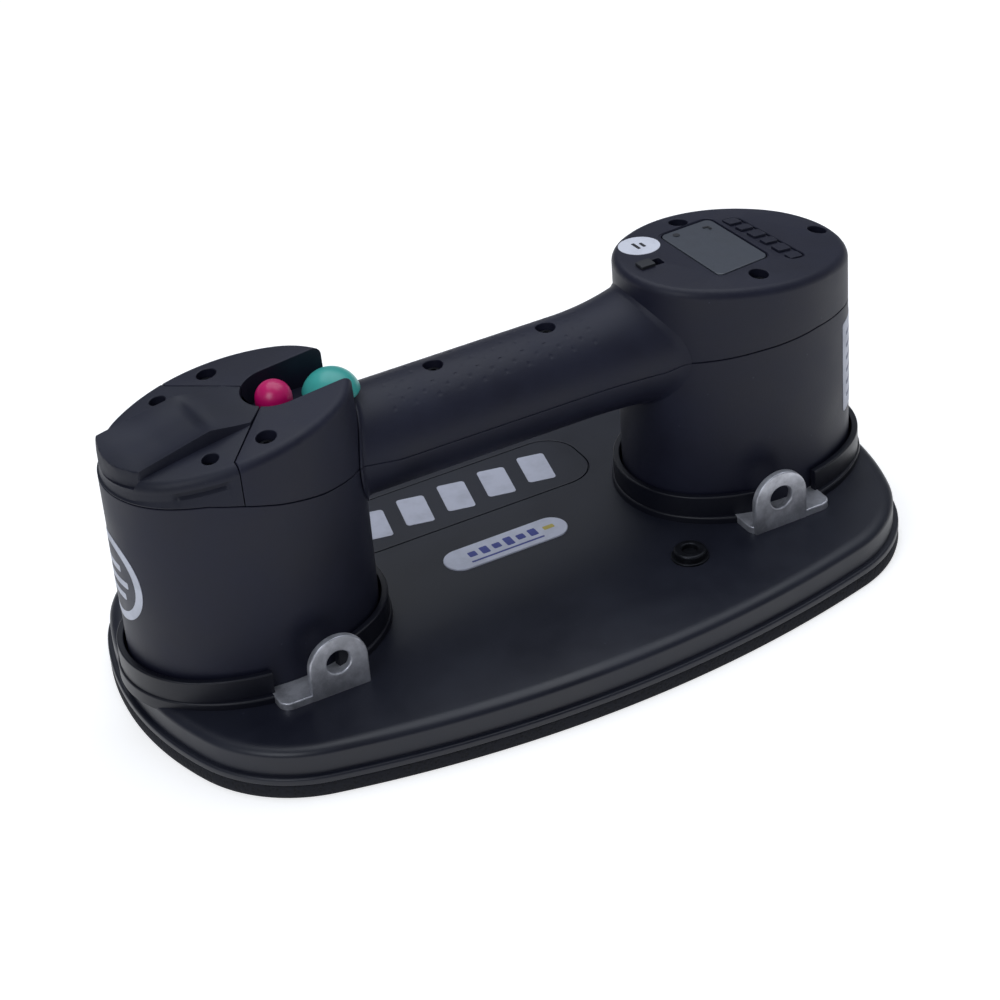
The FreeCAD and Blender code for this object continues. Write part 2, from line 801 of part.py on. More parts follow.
def grip(body):
    """The round bar between the towers, flared into the right one."""
    bar = sketch(body, "-tower_spacing / 2 + tower_length / 4", "YZ_Plane")
    reach = "tower_spacing / 2 - tower_length / 4 + flare_start"
    pad(body, circle(bar, "0", "grip_level", "grip_diameter / 2"), reach)
    end = "(tower_spacing / 2 - tower_length / 2)"
    stations = [
        ("flare_start", "grip_diameter / 2", "0"),
        ("(%s + flare_start) / 2" % end, "grip_diameter / 2 + flare_grow * 0.12", "flare_lift * 0.12"),
        ("%s - flare_start / 4" % end, "grip_diameter / 2 + flare_grow * 0.42", "flare_lift * 0.45"),
        (end, "grip_diameter / 2 + flare_grow * 0.8", "flare_lift * 0.87"),
        (end + " + flare_start / 4", "grip_diameter / 2 + flare_grow", "flare_lift"),
    ]
    rings = []
    for x, radius, lift in stations:
        ring = sketch(body, x, "YZ_Plane")
        rings.append(circle(ring, "0", "grip_level + %s" % lift, radius))
    loft(body, rings, False)


def grip_channel(body, first, length):
    """A stretch of the wire channel that runs along the inside of the grip."""
    bore = sketch(body, first, "YZ_Plane")
    circle(bore, "0", "grip_level", "grip_channel / 2")
    return pocket(body, bore, length, up=True)


def screw_spots():
    """The shell screws: a pair and an end screw on the right, a pair on the left, two in the grip."""
    pair = "(tower_spacing / 2 - tower_screw_x)"
    right = [(pair, "tower_screw_y"), (pair, "-tower_screw_y")]
    left = [("-" + pair, "tower_screw_y"), ("-" + pair, "-tower_screw_y")]
    end = [("tower_spacing / 2 + end_screw_x", "0")]
    return right + left + end


def tower_screw_level(x):
    """Where the head of a shell screw sits, below the sloping top."""
    reach = "abs(%s) - tower_spacing / 2" % x
    return top_at(reach) + " - screw_sink"


def grip_screw_spots():
    return [("grip_screw_x", "0"), ("-grip_screw_x", "0")]


GRIP_SCREW_LEVEL = "(grip_level + grip_diameter / 2 - screw_sink)"


def make_lower_shell():
    body = new_body("lower_shell")
    for side in SIDES:
        tower_base(body, side, PLATE_TOP, "part_left_outer")
    grip(body)
    split(body, keep_low=True)
    for side in SIDES:
        spot = ("%d * tower_spacing / 2" % side, "0")
        inside = tower_oval(sketch(body, FLOOR_TOP, shift=spot), "-shell_wall")
        pocket(body, inside, up=True)
    web = "(grip_screw_x + boss_radius)"
    grip_channel(body, "-tower_spacing / 2 + tower_length / 4", "tower_spacing / 2 - tower_length / 4 - " + web)
    grip_channel(body, "-grip_screw_x + boss_radius", "2 * (grip_screw_x - boss_radius)")
    grip_channel(body, web, "tower_spacing / 2 - tower_length / 4 - " + web)
    bay = sketch(body, FLOOR_TOP)
    y = "(tower_width / 2 - shell_wall / 2 - bay_inset)"
    outer = "-(seam_inner + bay_wall + bay_step)"
    inner = "-(seam_inner + bay_step)"
    rectangle(bay, outer, inner, "-" + y, y)
    pad(body, bay, "bay_wall_top - %s" % FLOOR_TOP)
    shelf = sketch(body, "switch_bottom")
    x = "-(tower_spacing / 2 - tower_length / 2 + shell_wall / 2)"
    rectangle(shelf, inner, x, "-shelf_half", "shelf_half")
    pad(body, shelf, "shell_wall", down=True)
    bosses = sketch(body, FLOOR_TOP)
    for spot_x, spot_y in screw_spots():
        circle(bosses, spot_x, spot_y, "boss_radius")
    pad(body, bosses, "boss_level - %s" % FLOOR_TOP)
    feet = sketch(body, FLOOR_TOP)
    for side in SIDES:
        for hand in SIDES:
            spot_x = "%d * (tower_spacing / 2 - inner_screw_x)" % side
            circle(feet, spot_x, "%d * inner_screw_y" % hand, "boss_radius")
    pad(body, feet, "foot_boss")
    for side in SIDES:
        first, last = lug_span(side)
        x0 = "%s - %d * seam_gap" % (first, side)
        x1 = "%s + %d * seam_gap" % (last, side)
        notch = rectangle(sketch(body, PLATE_TOP), x0, x1, "-tower_width", "-lug_reach + seam_gap")
        pocket(body, notch, "lug_thickness + seam_gap", up=True)
    pilots = sketch(body, "boss_level")
    for spot_x, spot_y in screw_spots():
        circle(pilots, spot_x, spot_y, PILOT)
    pocket(body, pilots, "screw_reach")
    grip_pilots = sketch(body, "grip_level")
    for spot_x, spot_y in grip_screw_spots():
        circle(grip_pilots, spot_x, spot_y, PILOT)
    pocket(body, grip_pilots, "grip_screw_bite")
    from_below = sketch(body, PLATE_TOP)
    for spot_x, spot_y in base_screw_spots():
        circle(from_below, spot_x, spot_y, PILOT)
    pocket(body, from_below, "base_screw_bite", up=True)
    ports = sketch(body, PLATE_TOP)
    circle(ports, "hose_x", "0", "hose_radius + hole_play")
    circle(ports, "-red_x", "0", "hose_radius + hole_play")
    pocket(body, ports, "tower_floor", up=True)
    vent = sketch(body, "switch_bottom")
    circle(vent, "-red_x", "0", "hose_radius + hole_play")
    pocket(body, vent, "shell_wall")
    return body


def sloping_tops(body, sides):
    """Pads the tower tops, slopes them down and outward, and rounds their rims."""
    for side in sides:
        tower_base(body, side, "grip_level", "tower_top - grip_level + tower_length / 4")
    lids = []
    for side in sides:
        spot = ("%d * tower_spacing / 2" % side, "0")
        half = "(tower_length / 2 + top_round)"
        above = sketch(body, "tower_top", shift=spot, lean=side)
        rectangle(above, "-" + half, half, "-tower_width", "tower_width")
        lids.append(pocket(body, above, "tower_length", up=True))
    slope = math.tan(math.radians(num("top_slope")))
    centre = num(TOWER_X)
    height = num("tower_top")

    def on_top(point):
        return abs(point.z - height + slope * (abs(point.x) - centre)) < 0.01

    fillet(body, lids[-1], on_top, "top_round")


def seam_outline(gap):
    """The battery cap's share of the left tower: a blunt nose towards the buttons."""
    reach = "(tower_spacing / 2 + tower_length)"
    side = "tower_width"
    nose = "seam_inner + (%s) * 1.2" % gap
    outer = "seam_outer + (%s) * 1.2" % gap
    nose_half = "seam_inner_half - (%s) * 0.4" % gap
    return [
        ("-" + reach, "-" + side),
        ("-(%s)" % outer, "-" + side),
        ("-(%s)" % outer, "-seam_side"),
        ("-(%s)" % nose, "-(%s)" % nose_half),
        ("-(%s)" % nose, "%s" % nose_half),
        ("-(%s)" % outer, "seam_side"),
        ("-(%s)" % outer, side),
        ("-" + reach, side),
    ]


def button_slot(body):
    """The slot for the buttons: round at the battery end and open towards the grip."""
    height = "tower_length"
    bar = sketch(body, "slot_floor")
    wide = "slot_half"
    end = "-(tower_spacing / 2 - tower_length / 2 - slot_runout)"
    rectangle(bar, "-slot_centre", end, "-" + wide, wide)
    pocket(body, bar, height, up=True)
    round_end = circle(sketch(body, "slot_floor"), "-slot_centre", "0", "slot_half")
    pocket(body, round_end, height, up=True)


def counterbores(body, spots, level, depth="tower_length"):
    for x, y in spots:
        head = circle(sketch(body, level(x)), x, y, "screw_head + seam_gap")
        pocket(body, head, depth, up=True)
        shank = circle(sketch(body, level(x)), x, y, "screw_shank + hole_play")
        pocket(body, shank, depth)


def make_upper_shell():
    body = new_body("upper_shell")
    sloping_tops(body, SIDES)
    grip(body)
    split(body, keep_low=False)
    for side in SIDES:
        spot = ("%d * tower_spacing / 2" % side, "0")
        inside = tower_oval(sketch(body, "grip_level - tower_length / 4", shift=spot), "-shell_wall")
        pocket(body, inside, "roof_level - grip_level + tower_length / 4", up=True)
    grip_channel(body, "-tower_spacing / 2 + tower_length / 4", "tower_spacing - tower_length / 2")
    posts = sketch(body, "grip_level")
    for spot_x, spot_y in grip_screw_spots():
        circle(posts, spot_x, spot_y, "boss_radius")
    pad(body, posts, "grip_channel / 2 + shell_wall / 2")
    tubes = sketch(body, "boss_joint")
    for spot_x, spot_y in screw_spots():
        circle(tubes, spot_x, spot_y, "boss_radius")
    pad(body, tubes, "roof_level - boss_joint + shell_wall / 2")
    pocket(body, polygon(sketch(body, "part_left_inner - tower_length"), seam_outline("0")), up=True)
    button_slot(body)
    stems = sketch(body, "roof_level - shell_wall")
    circle(stems, "-red_x", "0", "stem_radius + stem_gap")
    circle(stems, "-green_x", "0", "stem_radius + stem_gap")
    pocket(body, stems, "tower_length", up=True)
    counterbores(body, screw_spots(), tower_screw_level)
    counterbores(body, grip_screw_spots(), lambda x: GRIP_SCREW_LEVEL, "grip_diameter / 2")
    right = ("tower_spacing / 2", "0")
    recess = sketch(body, "tower_top", shift=right, lean=1)
    y0 = "window_y - window_length / 2"
    y1 = "window_y + window_length / 2"
    x0 = "window_offset - window_width / 2"
    x1 = "window_offset + window_width / 2"
    rectangle(recess, x0, x1, y0, y1)
    pocket(body, recess, "window_thickness")
    well = sketch(body, "roof_level - shell_wall", shift=right)
    rim = "window_rim"
    rectangle(
        well,
        "%s + %s" % (x0, rim),
        "%s - %s" % (x1, rim),
        "%s + %s" % (y0, rim),
        "%s - %s" % (y1, rim),
    )
    pocket(body, well, "tower_length", up=True)
    unit = sketch(body, "tower_top", shift=right, lean=1)
    u0 = "-unit_switch_x - unit_slot_length / 2"
    u1 = "-unit_switch_x + unit_slot_length / 2"
    rectangle(unit, u0, u1, "-unit_slot_width / 2", "unit_slot_width / 2")
    pocket(body, unit, "unit_slot_depth")
    return body


def make_shell_screws():
    screws = []
    for x, y in screw_spots():
        level = tower_screw_level(x)
        length = "%s - boss_level + screw_reach - screw_end_play" % level
        screws.append(pan_screw(x, y, level, length))
    for x, y in grip_screw_spots():
        length = "%s - grip_level + grip_screw_bite - screw_end_play / 2" % GRIP_SCREW_LEVEL
        screws.append(pan_screw(x, y, GRIP_SCREW_LEVEL, length))
    return group("shell_screws", screws)


# ---- battery ----------------------------------------------------------------------------------------

def cap_screw_spots():
    """The battery's screws, a fixed way outward of the seam's slanted runs."""
    share = "(cap_screw_y - seam_inner_half) / (seam_side - seam_inner_half)"
    x = "-(seam_inner + %s * (seam_outer - seam_inner) + cap_screw_margin)" % share
    return [(x, "cap_screw_y"), (x, "-cap_screw_y")]


def make_battery_cap():
    """The top of the battery: it closes the left tower and plugs the case below."""
    body = new_body("battery_cap")
    sloping_tops(body, SIDES[:1])
    split(body, keep_low=False, gap="seam_gap")
    spot = ("-tower_spacing / 2", "0")
    plug = tower_oval(sketch(body, "case_top", shift=spot), "-(shell_wall + bay_gap)")
    pad(body, plug, "roof_level - case_top")
    around = seam_outline("seam_gap")[1:7] + [("0", "tower_width"), ("0", "-tower_width")]
    pocket(body, polygon(sketch(body), around), up=True)
    round_end = circle(sketch(body, "slot_floor"), "-slot_centre", "0", "slot_half")
    pocket(body, round_end, up=True)
    foot = "slot_floor"
    fall = "tab_ridge - tab_inner"
    profile = [
        ("-tab_outer", foot),
        ("-tab_outer", top_at("tab_outer - tower_spacing / 2")),
        ("-tab_ridge", top_at("tab_ridge - tower_spacing / 2") + " + tab_rise"),
        ("-(tab_ridge - 0.3 * (%s))" % fall, top_at("tab_ridge - tower_spacing / 2") + " + 0.45 * tab_rise"),
        ("-(tab_ridge - 0.6 * (%s))" % fall, top_at("tab_ridge - tower_spacing / 2") + " + 0.2 * tab_rise"),
        ("-tab_inner", top_at("tab_inner - tower_spacing / 2")),
        ("-tab_inner", foot),
    ]
    tab = polygon(sketch(body, "-tab_width / 2", "XZ_Plane"), profile)
    pad(body, tab, "tab_width")
    counterbores(body, cap_screw_spots(), tower_screw_level)
    return body


def cell_spots():
    spots = []
    for row in ("-cell_row", "-(cell_row + cell_pitch)"):
        for hand in SIDES:
            spots.append((row, "%d * cell_pitch / 2" % hand))
    return spots


def make_battery_case():
    """The cup that holds the cells, its front corners cut clear of the shell's screw bosses."""
    body = new_body("battery_case")
    spot = ("-tower_spacing / 2", "0")
    outline = tower_oval(sketch(body, "case_bottom", shift=spot), "-(shell_wall + bay_gap)")
    pad(body, outline, "case_top - case_bottom")
    shoulder = "-(seam_outer + case_setback)"
    nose = "-(seam_inner + case_nose_setback)"
    nose_half = "(seam_inner_half + case_nose_spread)"
    front = [
        ("0", "-tower_width"),
        (shoulder, "-tower_width"),
        (shoulder, "-seam_side"),
        (nose, "-" + nose_half),
        (nose, nose_half),
        (shoulder, "seam_side"),
        (shoulder, "tower_width"),
        ("0", "tower_width"),
    ]
    pocket(body, polygon(sketch(body), front), up=True)
    inside = "case_bottom + case_wall"
    bore = "(cell_diameter / 2 + cell_play)"
    wells = sketch(body, inside)
    for x, y in cell_spots():
        circle(wells, x, y, bore)
    pocket(body, wells, up=True)
    near = "-(cell_row)"
    far = "-(cell_row + cell_pitch)"
    across = "(cell_pitch / 2 + %s)" % bore
    pocket(body, rectangle(sketch(body, inside), far, near, "-" + across, across), up=True)
    along = (far + " - " + bore, near + " + " + bore)
    pocket(body, rectangle(sketch(body, inside), *along, "-cell_pitch / 2", "cell_pitch / 2"), up=True)
    slots = sketch(body, "case_bottom")
    middle = "(cell_row + cell_pitch / 2)"
    half = "(blade_length / 2 + seam_gap)"
    for hand in SIDES:
        y0 = "%d * blade_y - blade_thickness / 2 - seam_gap" % hand
        y1 = "%d * blade_y + blade_thickness / 2 + seam_gap" % hand
        rectangle(slots, "-%s - %s" % (middle, half), "-%s + %s" % (middle, half), y0, y1)
    pocket(body, slots, "case_wall", up=True)
    pilots = sketch(body, "case_top")
    for x, y in cap_screw_spots():
        circle(pilots, x, y, PILOT)
    pocket(body, pilots, "cap_screw_length / 2")
    return body


def make_battery_cells():
    level = "case_bottom + case_wall"
    cells = [cylinder("cell_diameter / 2", "cell_height", (x, y, level)) for x, y in cell_spots()]
    return group("battery_cells", cells)


def make_contacts():
    """The leaves inside the battery and the blades that stand in the bay."""
    x = "-(cell_row + cell_pitch / 2)"
    leaves = []
    blades = []
    for hand in SIDES:
        y = "%d * (blade_y + blade_thickness / 2 + seam_gap * 1.5 + leaf_thickness / 2)" % hand
        size = ("blade_length", "leaf_thickness", "leaf_height")
        leaves.append(block(size, (x, y, "case_bottom + case_wall")))
        size = ("blade_length", "blade_thickness", "blade_height")
        blades.append(block(size, (x, "%d * blade_y" % hand, FLOOR_TOP)))
    return [group("battery_terminals", leaves), group("bay_blades", blades)]


def make_cap_screws():
    screws = []
    for x, y in cap_screw_spots():
        screws.append(pan_screw(x, y, tower_screw_level(x), "cap_screw_length"))
    return group("cap_screws", screws)


# ---- buttons ----------------------------------------------------------------------------------------

FLANGE_TOP = "(roof_level - seam_gap)"


def make_button(label, x, radius, base, dome):
    """A domed cap on a stem, with a flange that stops it under the roof."""
    spot = ("-" + x, "0")
    under = "slot_floor + button_lift"
    ball = "((%s ^ 2 + %s ^ 2) / (2 * %s))" % (radius, dome, dome)
    top = doc.addObject("Part::Sphere", "Dome")
    bind(top, "Radius", ball)
    bind(top, "Angle1", "asin(1 - %s / %s)" % (dome, ball))
    top.Angle2 = 90
    place(top, (*spot, "%s + %s - %s" % (base, dome, ball)))
    skirt = cylinder(radius, "%s - (%s)" % (base, under), (*spot, under))
    stem = cylinder("stem_radius", "%s - stem_end" % under, (*spot, "stem_end"))
    flange = cylinder("flange_radius", "flange_height", (*spot, FLANGE_TOP + " - flange_height"))
    return fuse(label, [top, skirt, stem, flange])


def make_spring(label, x):
    """A coil of square wire between the switch and the stem's flange."""
    body = new_body(label)
    wire = sketch(body, "0", "XZ_Plane", shift=("-" + x, "spring_seat + spring_wire"))
    size = ("spring_radius - spring_wire", "spring_radius + spring_wire", "-spring_wire", "spring_wire")
    rectangle(wire, *size)
    coil = body.newObject("PartDesign::AdditiveHelix", "Coil")
    coil.Profile = wire
    coil.ReferenceAxis = (wire, ["V_Axis"])
    coil.Mode = 0
    room = "(%s - flange_height - spring_seat - 2 * spring_wire)" % FLANGE_TOP
    bind(coil, "Height", room)
    bind(coil, "Pitch", room + " / spring_turns")
    doc.recompute()
    return body


def make_release_valve():
    spot = ("-red_x", "0")
    chamber = cylinder("valve_radius", "spring_seat - switch_bottom", (*spot, "switch_bottom"))
    plunger = cylinder("plunger_radius", "plunger_top - spring_seat", (*spot, "spring_seat"))
    return fuse("release_valve", [chamber, plunger])


def make_power_switch():
    spot = ("-green_x", "0")
    size = ("switch_width", "switch_width", "spring_seat - switch_bottom")
    case = block(size, (*spot, "switch_bottom"))
    plunger = cylinder("plunger_radius", "plunger_top - spring_seat", (*spot, "spring_seat"))
    return fuse("power_switch", [case, plunger])


def make_vent_hose():
    spot = ("-red_x", "0", CHAMBER_ROOF)
    height = "switch_bottom - %s" % CHAMBER_ROOF
    outer = cylinder("hose_radius", height, spot)
    return cut("vent_hose", outer, cylinder("hose_bore", height, spot))


# ---- gauge and pump ---------------------------------------------------------------------------------

def make_display_window():
    body = new_body("display_window")
    pane = sketch(body, "tower_top", shift=("tower_spacing / 2", "0"), lean=1)
    x = "(window_width / 2 - seam_gap)"
    y = "(window_length / 2 - seam_gap)"
    rectangle(
        pane,
        "window_offset - " + x,
        "window_offset + " + x,
        "window_y - " + y,
        "window_y + " + y,
    )
    pad(body, pane, "window_thickness", down=True)
    return body


def make_gauge():
    """The gauge module behind the window, and the board that carries it under the roof."""
    x = "tower_spacing / 2 + window_offset"
    rim = "2 * window_rim - 2 * seam_gap"
    size = ("window_width - " + rim, "window_length - " + rim, "gauge_height")
    module = block(size, (x, "window_y", "roof_level"), "gauge_module")
    size = ("board_length", "board_width", "board_thickness")
    board = block(size, (x, "0", "roof_level - board_thickness"), "control_board")
    return [module, board]


def make_unit_switch():
    body = new_body("unit_switch")
    spot = ("tower_spacing / 2", "0")
    x0 = "-unit_switch_x - unit_slot_length / 2 + unit_knob_gap"
    x1 = x0 + " + unit_knob_length"
    half = "(unit_slot_width / 2 - seam_gap)"
    low = sketch(body, "tower_top", shift=spot, lean=1)
    pad(body, rectangle(low, x0, x1, "-" + half, half), "unit_slot_depth - seam_gap", down=True)
    high = sketch(body, "tower_top", shift=spot, lean=1)
    pad(body, rectangle(high, x0, x1, "-" + half, half), "unit_knob_rise")
    return body


MOTOR_TOP = "(%s + motor_height)" % FLOOR_TOP
PORT_Z = "(%s + motor_height + port_level)" % FLOOR_TOP
PORT_X = "(motor_x - pump_radius - port_reach)"


def lying(radius, length, at):
    """A cylinder along +X."""
    bar = cylinder(radius, length, at)
    bar.Placement = FreeCAD.Placement(bar.Placement.Base, FreeCAD.Rotation(V(0, 1, 0), 90))
    return bar


def make_pump():
    """Motor, shaft with crank, and pump head, one above the other."""
    spot = ("motor_x", "0")
    can = cylinder("motor_radius", "motor_height", (*spot, FLOOR_TOP))
    room = "shaft_radius + shaft_gap"
    bearing = cylinder(room, "motor_bore", (*spot, MOTOR_TOP + " - motor_bore"))
    motor = cut("pump_motor", can, bearing)
    foot = MOTOR_TOP + " - motor_bore + seam_gap"
    crank = MOTOR_TOP + " + crank_gap"
    shaft = fuse("motor_shaft", [
        cylinder("shaft_radius", "motor_bore + crank_gap", (*spot, foot)),
        cylinder("crank_radius", "crank_height", (*spot, crank)),
        cylinder("crank_pin", "2 * crank_height", ("motor_x + crank_offset", "0", crank)),
    ])
    head = fuse("Head", [
        cylinder("pump_radius", "pump_height", (*spot, MOTOR_TOP)),
        lying("port_stub", "pump_radius", (PORT_X, "0", PORT_Z)),
    ])
    hollow = fuse("Hollow", [
        cylinder("pump_bore", "pump_room", (*spot, MOTOR_TOP)),
        lying("hose_bore", "pump_radius", (PORT_X, "0", PORT_Z)),
    ])
    return [motor, shaft, cut("pump_head", head, hollow)]


def hose_run(radius):
    """Up from the plate, round a quarter bend and across to the pump."""
    rise = "%s - hose_bend - %s" % (PORT_Z, CHAMBER_ROOF)
    up = cylinder(radius, rise, ("hose_x", "0", CHAMBER_ROOF))
    bend = doc.addObject("Part::Torus", "Bend")
    bind(bend, "Radius1", "hose_bend")
    bind(bend, "Radius2", radius)
    bend.Angle3 = 90
    turn = FreeCAD.Rotation(V(0, 0, 1), V(-1, 0, 0), V(0, -1, 0), "XYZ")
    bend.Placement = FreeCAD.Placement(V(0, 0, 0), turn)
    place(bend, ("hose_x + hose_bend", "0", PORT_Z + " - hose_bend"))
    across = lying(radius, "%s - hose_x - hose_bend" % PORT_X, ("hose_x + hose_bend", "0", PORT_Z))
    return [up, bend, across]


def make_vacuum_hose():
    return cut("vacuum_hose", fuse("Hose", hose_run("hose_radius")), fuse("Bore", hose_run("hose_bore")))


def make_filter():
    level = CHAMBER_ROOF + " - filter_thickness"
    disc = cylinder("filter_radius", "filter_thickness", ("hose_x", "0", level), "chamber_filter")
    return disc


# ---- build and export -------------------------------------------------------------------------------

parts = [
    make_base_plate(),
    make_foam_seal(),
    make_inlay_panel(),
    make_badge_plate(),
    make_lug("lug_left", -1),
    make_lug("lug_right", 1),
    make_lug_screws(),
    make_base_screws(),
    *make_plug(),
    make_filter(),
    make_lower_shell(),
    make_upper_shell(),
    make_shell_screws(),
    make_battery_cap(),
    make_battery_case(),
    make_battery_cells(),
    *make_contacts(),
    make_cap_screws(),
    make_button("red_button", "red_x", "red_radius", "red_base", "red_dome"),
    make_button("green_button", "green_x", "green_radius", "green_base", "green_dome"),
    make_spring("red_spring", "red_x"),
    make_spring("green_spring", "green_x"),
    make_release_valve(),
    make_power_switch(),
    make_vent_hose(),
    make_display_window(),
    *make_gauge(),
    make_unit_switch(),
    *make_pump(),
    make_vacuum_hose(),
]
doc.recompute()

faults = [item.Label for item in doc.Objects if {"Invalid", "Error"} & set(item.State)]
for piece in parts:
    if piece.Shape.isNull() or not piece.Shape.isValid():
        faults.append(piece.Label)
if faults:
    raise SystemExit("faulty: %s" % ", ".join(faults))

os.makedirs("parts", exist_ok=True)
for piece in parts:
    piece.Shape.exportStep("parts/%s.step" % piece.Label)
print("wrote %d parts" % len(parts))
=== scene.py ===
import math

import bmesh
import bpy
import numpy as np
from mathutils import Matrix, Vector
from mathutils.geometry import delaunay_2d_cdt


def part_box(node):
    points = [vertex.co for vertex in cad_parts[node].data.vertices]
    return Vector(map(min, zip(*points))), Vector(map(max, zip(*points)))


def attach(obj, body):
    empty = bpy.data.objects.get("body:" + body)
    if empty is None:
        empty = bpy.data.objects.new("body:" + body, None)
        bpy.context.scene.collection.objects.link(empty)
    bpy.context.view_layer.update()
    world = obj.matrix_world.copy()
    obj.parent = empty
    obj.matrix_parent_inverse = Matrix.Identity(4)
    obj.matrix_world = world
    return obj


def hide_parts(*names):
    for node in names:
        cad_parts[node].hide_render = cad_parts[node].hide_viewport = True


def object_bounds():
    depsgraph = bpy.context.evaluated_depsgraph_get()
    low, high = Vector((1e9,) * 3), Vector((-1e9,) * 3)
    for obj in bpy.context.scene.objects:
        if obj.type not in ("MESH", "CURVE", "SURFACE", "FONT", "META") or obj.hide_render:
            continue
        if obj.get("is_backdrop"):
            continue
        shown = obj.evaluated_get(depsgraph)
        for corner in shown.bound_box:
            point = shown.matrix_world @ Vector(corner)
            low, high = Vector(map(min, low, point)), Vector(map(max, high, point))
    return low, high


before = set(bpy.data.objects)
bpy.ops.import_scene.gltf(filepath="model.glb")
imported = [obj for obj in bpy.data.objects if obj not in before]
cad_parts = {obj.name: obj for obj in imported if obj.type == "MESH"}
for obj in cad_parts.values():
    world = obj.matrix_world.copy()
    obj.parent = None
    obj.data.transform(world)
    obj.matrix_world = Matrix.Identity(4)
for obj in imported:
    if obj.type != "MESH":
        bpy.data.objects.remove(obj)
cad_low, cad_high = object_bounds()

# Battery suction lifter, dressed for the render. Sizes are millimetres until a mesh is made.
# X runs along the grip from the battery tower to the gauge tower, Y across it, Z up from the seal.

MM = 0.001


def box(node):
    """A CAD node's lowest and highest corner in millimetres."""
    low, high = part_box(node)
    return np.array(low) / MM, np.array(high) / MM


# ---- driving sizes, read from the frame ---------------------------------------------------------

_, PLATE_HIGH = box("base_plate")
SHELL_LOW, SHELL_HIGH = box("lower_shell")
FOAM_LOW, FOAM_HIGH = box("foam_seal")
LUG_LOW, LUG_HIGH = box("lug_right")
BADGE_LOW, BADGE_HIGH = box("badge_plate")
INLAY_LOW, INLAY_HIGH = box("inlay_panel")
PLUG_LOW, PLUG_HIGH = box("plug_screw")
WINDOW_LOW, WINDOW_HIGH = box("display_window")

PLATE_TOP = SHELL_LOW[2]
COLLAR_TOP = PLATE_HIGH[2]
TOWER_HALF_X = 44.5
TOWER_HALF_Y = SHELL_HIGH[1]
TOWER_X = SHELL_HIGH[0] - TOWER_HALF_X
TOWER_END_ARC = 31.0
LEFT_TOP, LEFT_SLOPE, LEFT_CROWN, LEFT_DOME = 110.3, 0.135, 0.0001, 1.5
RIGHT_TOP, RIGHT_SLOPE, RIGHT_CROWN, RIGHT_DOME = 108.8, 0.113, 0.0004, 2.3
TOP_ROUND = 3.0
DRAFT = 1.0
SLOT_FLOOR = 102.5
SLOT_HALF = 12.0
SLOT_CENTRE = -81.0
GRIP_RADIUS = 19.5
GRIP_LEVEL = 81.8
GRIP_AXIS = 82.5
LIP = 0.35
ON_LINE, SLIVER, MERGE = 1e-4, 1e-4, 2e-3
PLATE_POINTS = 420

PART_GAP, SEAM_GAP = 0.12, 0.36
PART_ROUND = 0.45
SCREW_HOLE, CAP_HOLE = 3.5, 2.9
SCREW_SINK, SCREW_TOP = 6.0, 2.7
GRIP_SCREW_X = 22.3
RIGHT_SCREWS = [(TOWER_X - 3.5, -24.4), (TOWER_X - 6.3, 25.2), (TOWER_X + 37.4, 0.0)]
LEFT_SCREWS = [(-TOWER_X + 3.4, y) for y in (-24.6, 24.6)]
CAP_SCREWS = [(-TOWER_X - 16.0, y) for y in (-22.4, 22.4)]
GRIP_SCREWS = [(x, 0.0) for x in (-GRIP_SCREW_X, GRIP_SCREW_X)]


# ---- outlines ------------------------------------------------------------------------------------

class Arcs:
    """A convex outline of tangent arcs, the same in all four quarters.

    A point is named by the angle of its outward normal: it is the arc's centre plus the arc's radius
    along the normal, and growing the outline adds to every radius."""

    def __init__(self, quarter, centre=(0.0, 0.0)):
        self.quarter = quarter
        self.centre = np.array(centre, float)
        angles = np.linspace(-math.pi, math.pi, 4001)
        points = self.points(angles)
        steps = np.hypot(*np.diff(points, axis=0).T)
        self.angles = angles
        self.length = np.concatenate([[0], np.cumsum(steps)])

    def _arc(self, angle):
        sx = np.where(np.cos(angle) < 0, -1.0, 1.0)
        sy = np.where(np.sin(angle) < 0, -1.0, 1.0)
        folded = np.arctan2(np.abs(np.sin(angle)), np.abs(np.cos(angle)))
        place = np.searchsorted([arc[0] for arc in self.quarter[:-1]], folded)
        table = np.array([arc[1:] for arc in self.quarter])[place]
        return table[..., 0] * sx, table[..., 1] * sy, table[..., 2]

    def points(self, angle, grow=0.0):
        x, y, radius = self._arc(angle)
        reach = radius + grow
        return np.stack([x + reach * np.cos(angle), y + reach * np.sin(angle)], -1) + self.centre

    def even(self, count):
        """Normal angles at even steps along the outline."""
        steps = np.linspace(0, self.length[-1], count, endpoint=False)
        return np.interp(steps, self.length, self.angles)

    def angle_at(self, run, start):
        """The normal's angle after running a length along the outline from a start angle."""
        here = np.interp(start, self.angles, self.length)
        whole = self.length[-1]
        return np.interp(np.mod(here + run, whole), self.length, self.angles)

    def loop(self, grow=0.0, count=180):
        return self.points(self.even(count), grow)

    def _pick(self, x, y):
        """For each point, the way from the centre of the nearest part's arc, and its radius."""
        px, py = x - self.centre[0], y - self.centre[1]
        ax, ay = np.abs(px), np.abs(py)
        angle = np.linspace(0.001, math.pi / 2 - 0.001, 161)
        near = self.points(angle) - self.centre
        gap = (ax[..., None] - near[:, 0]) ** 2 + (ay[..., None] - near[:, 1]) ** 2
        cx, cy, radius = self._arc(angle[gap.argmin(-1)])
        return px, py, ax - cx, ay - cy, radius

    def outside(self, x, y):
        """Signed distance to the outline, positive outside."""
        _, _, dx, dy, radius = self._pick(x, y)
        return np.hypot(dx, dy) - radius

    def outward(self, x, y):
        px, py, dx, dy, _ = self._pick(x, y)
        size = np.maximum(np.hypot(dx, dy), 1e-9)
        return dx / size * np.where(px < 0, -1, 1), dy / size * np.where(py < 0, -1, 1)


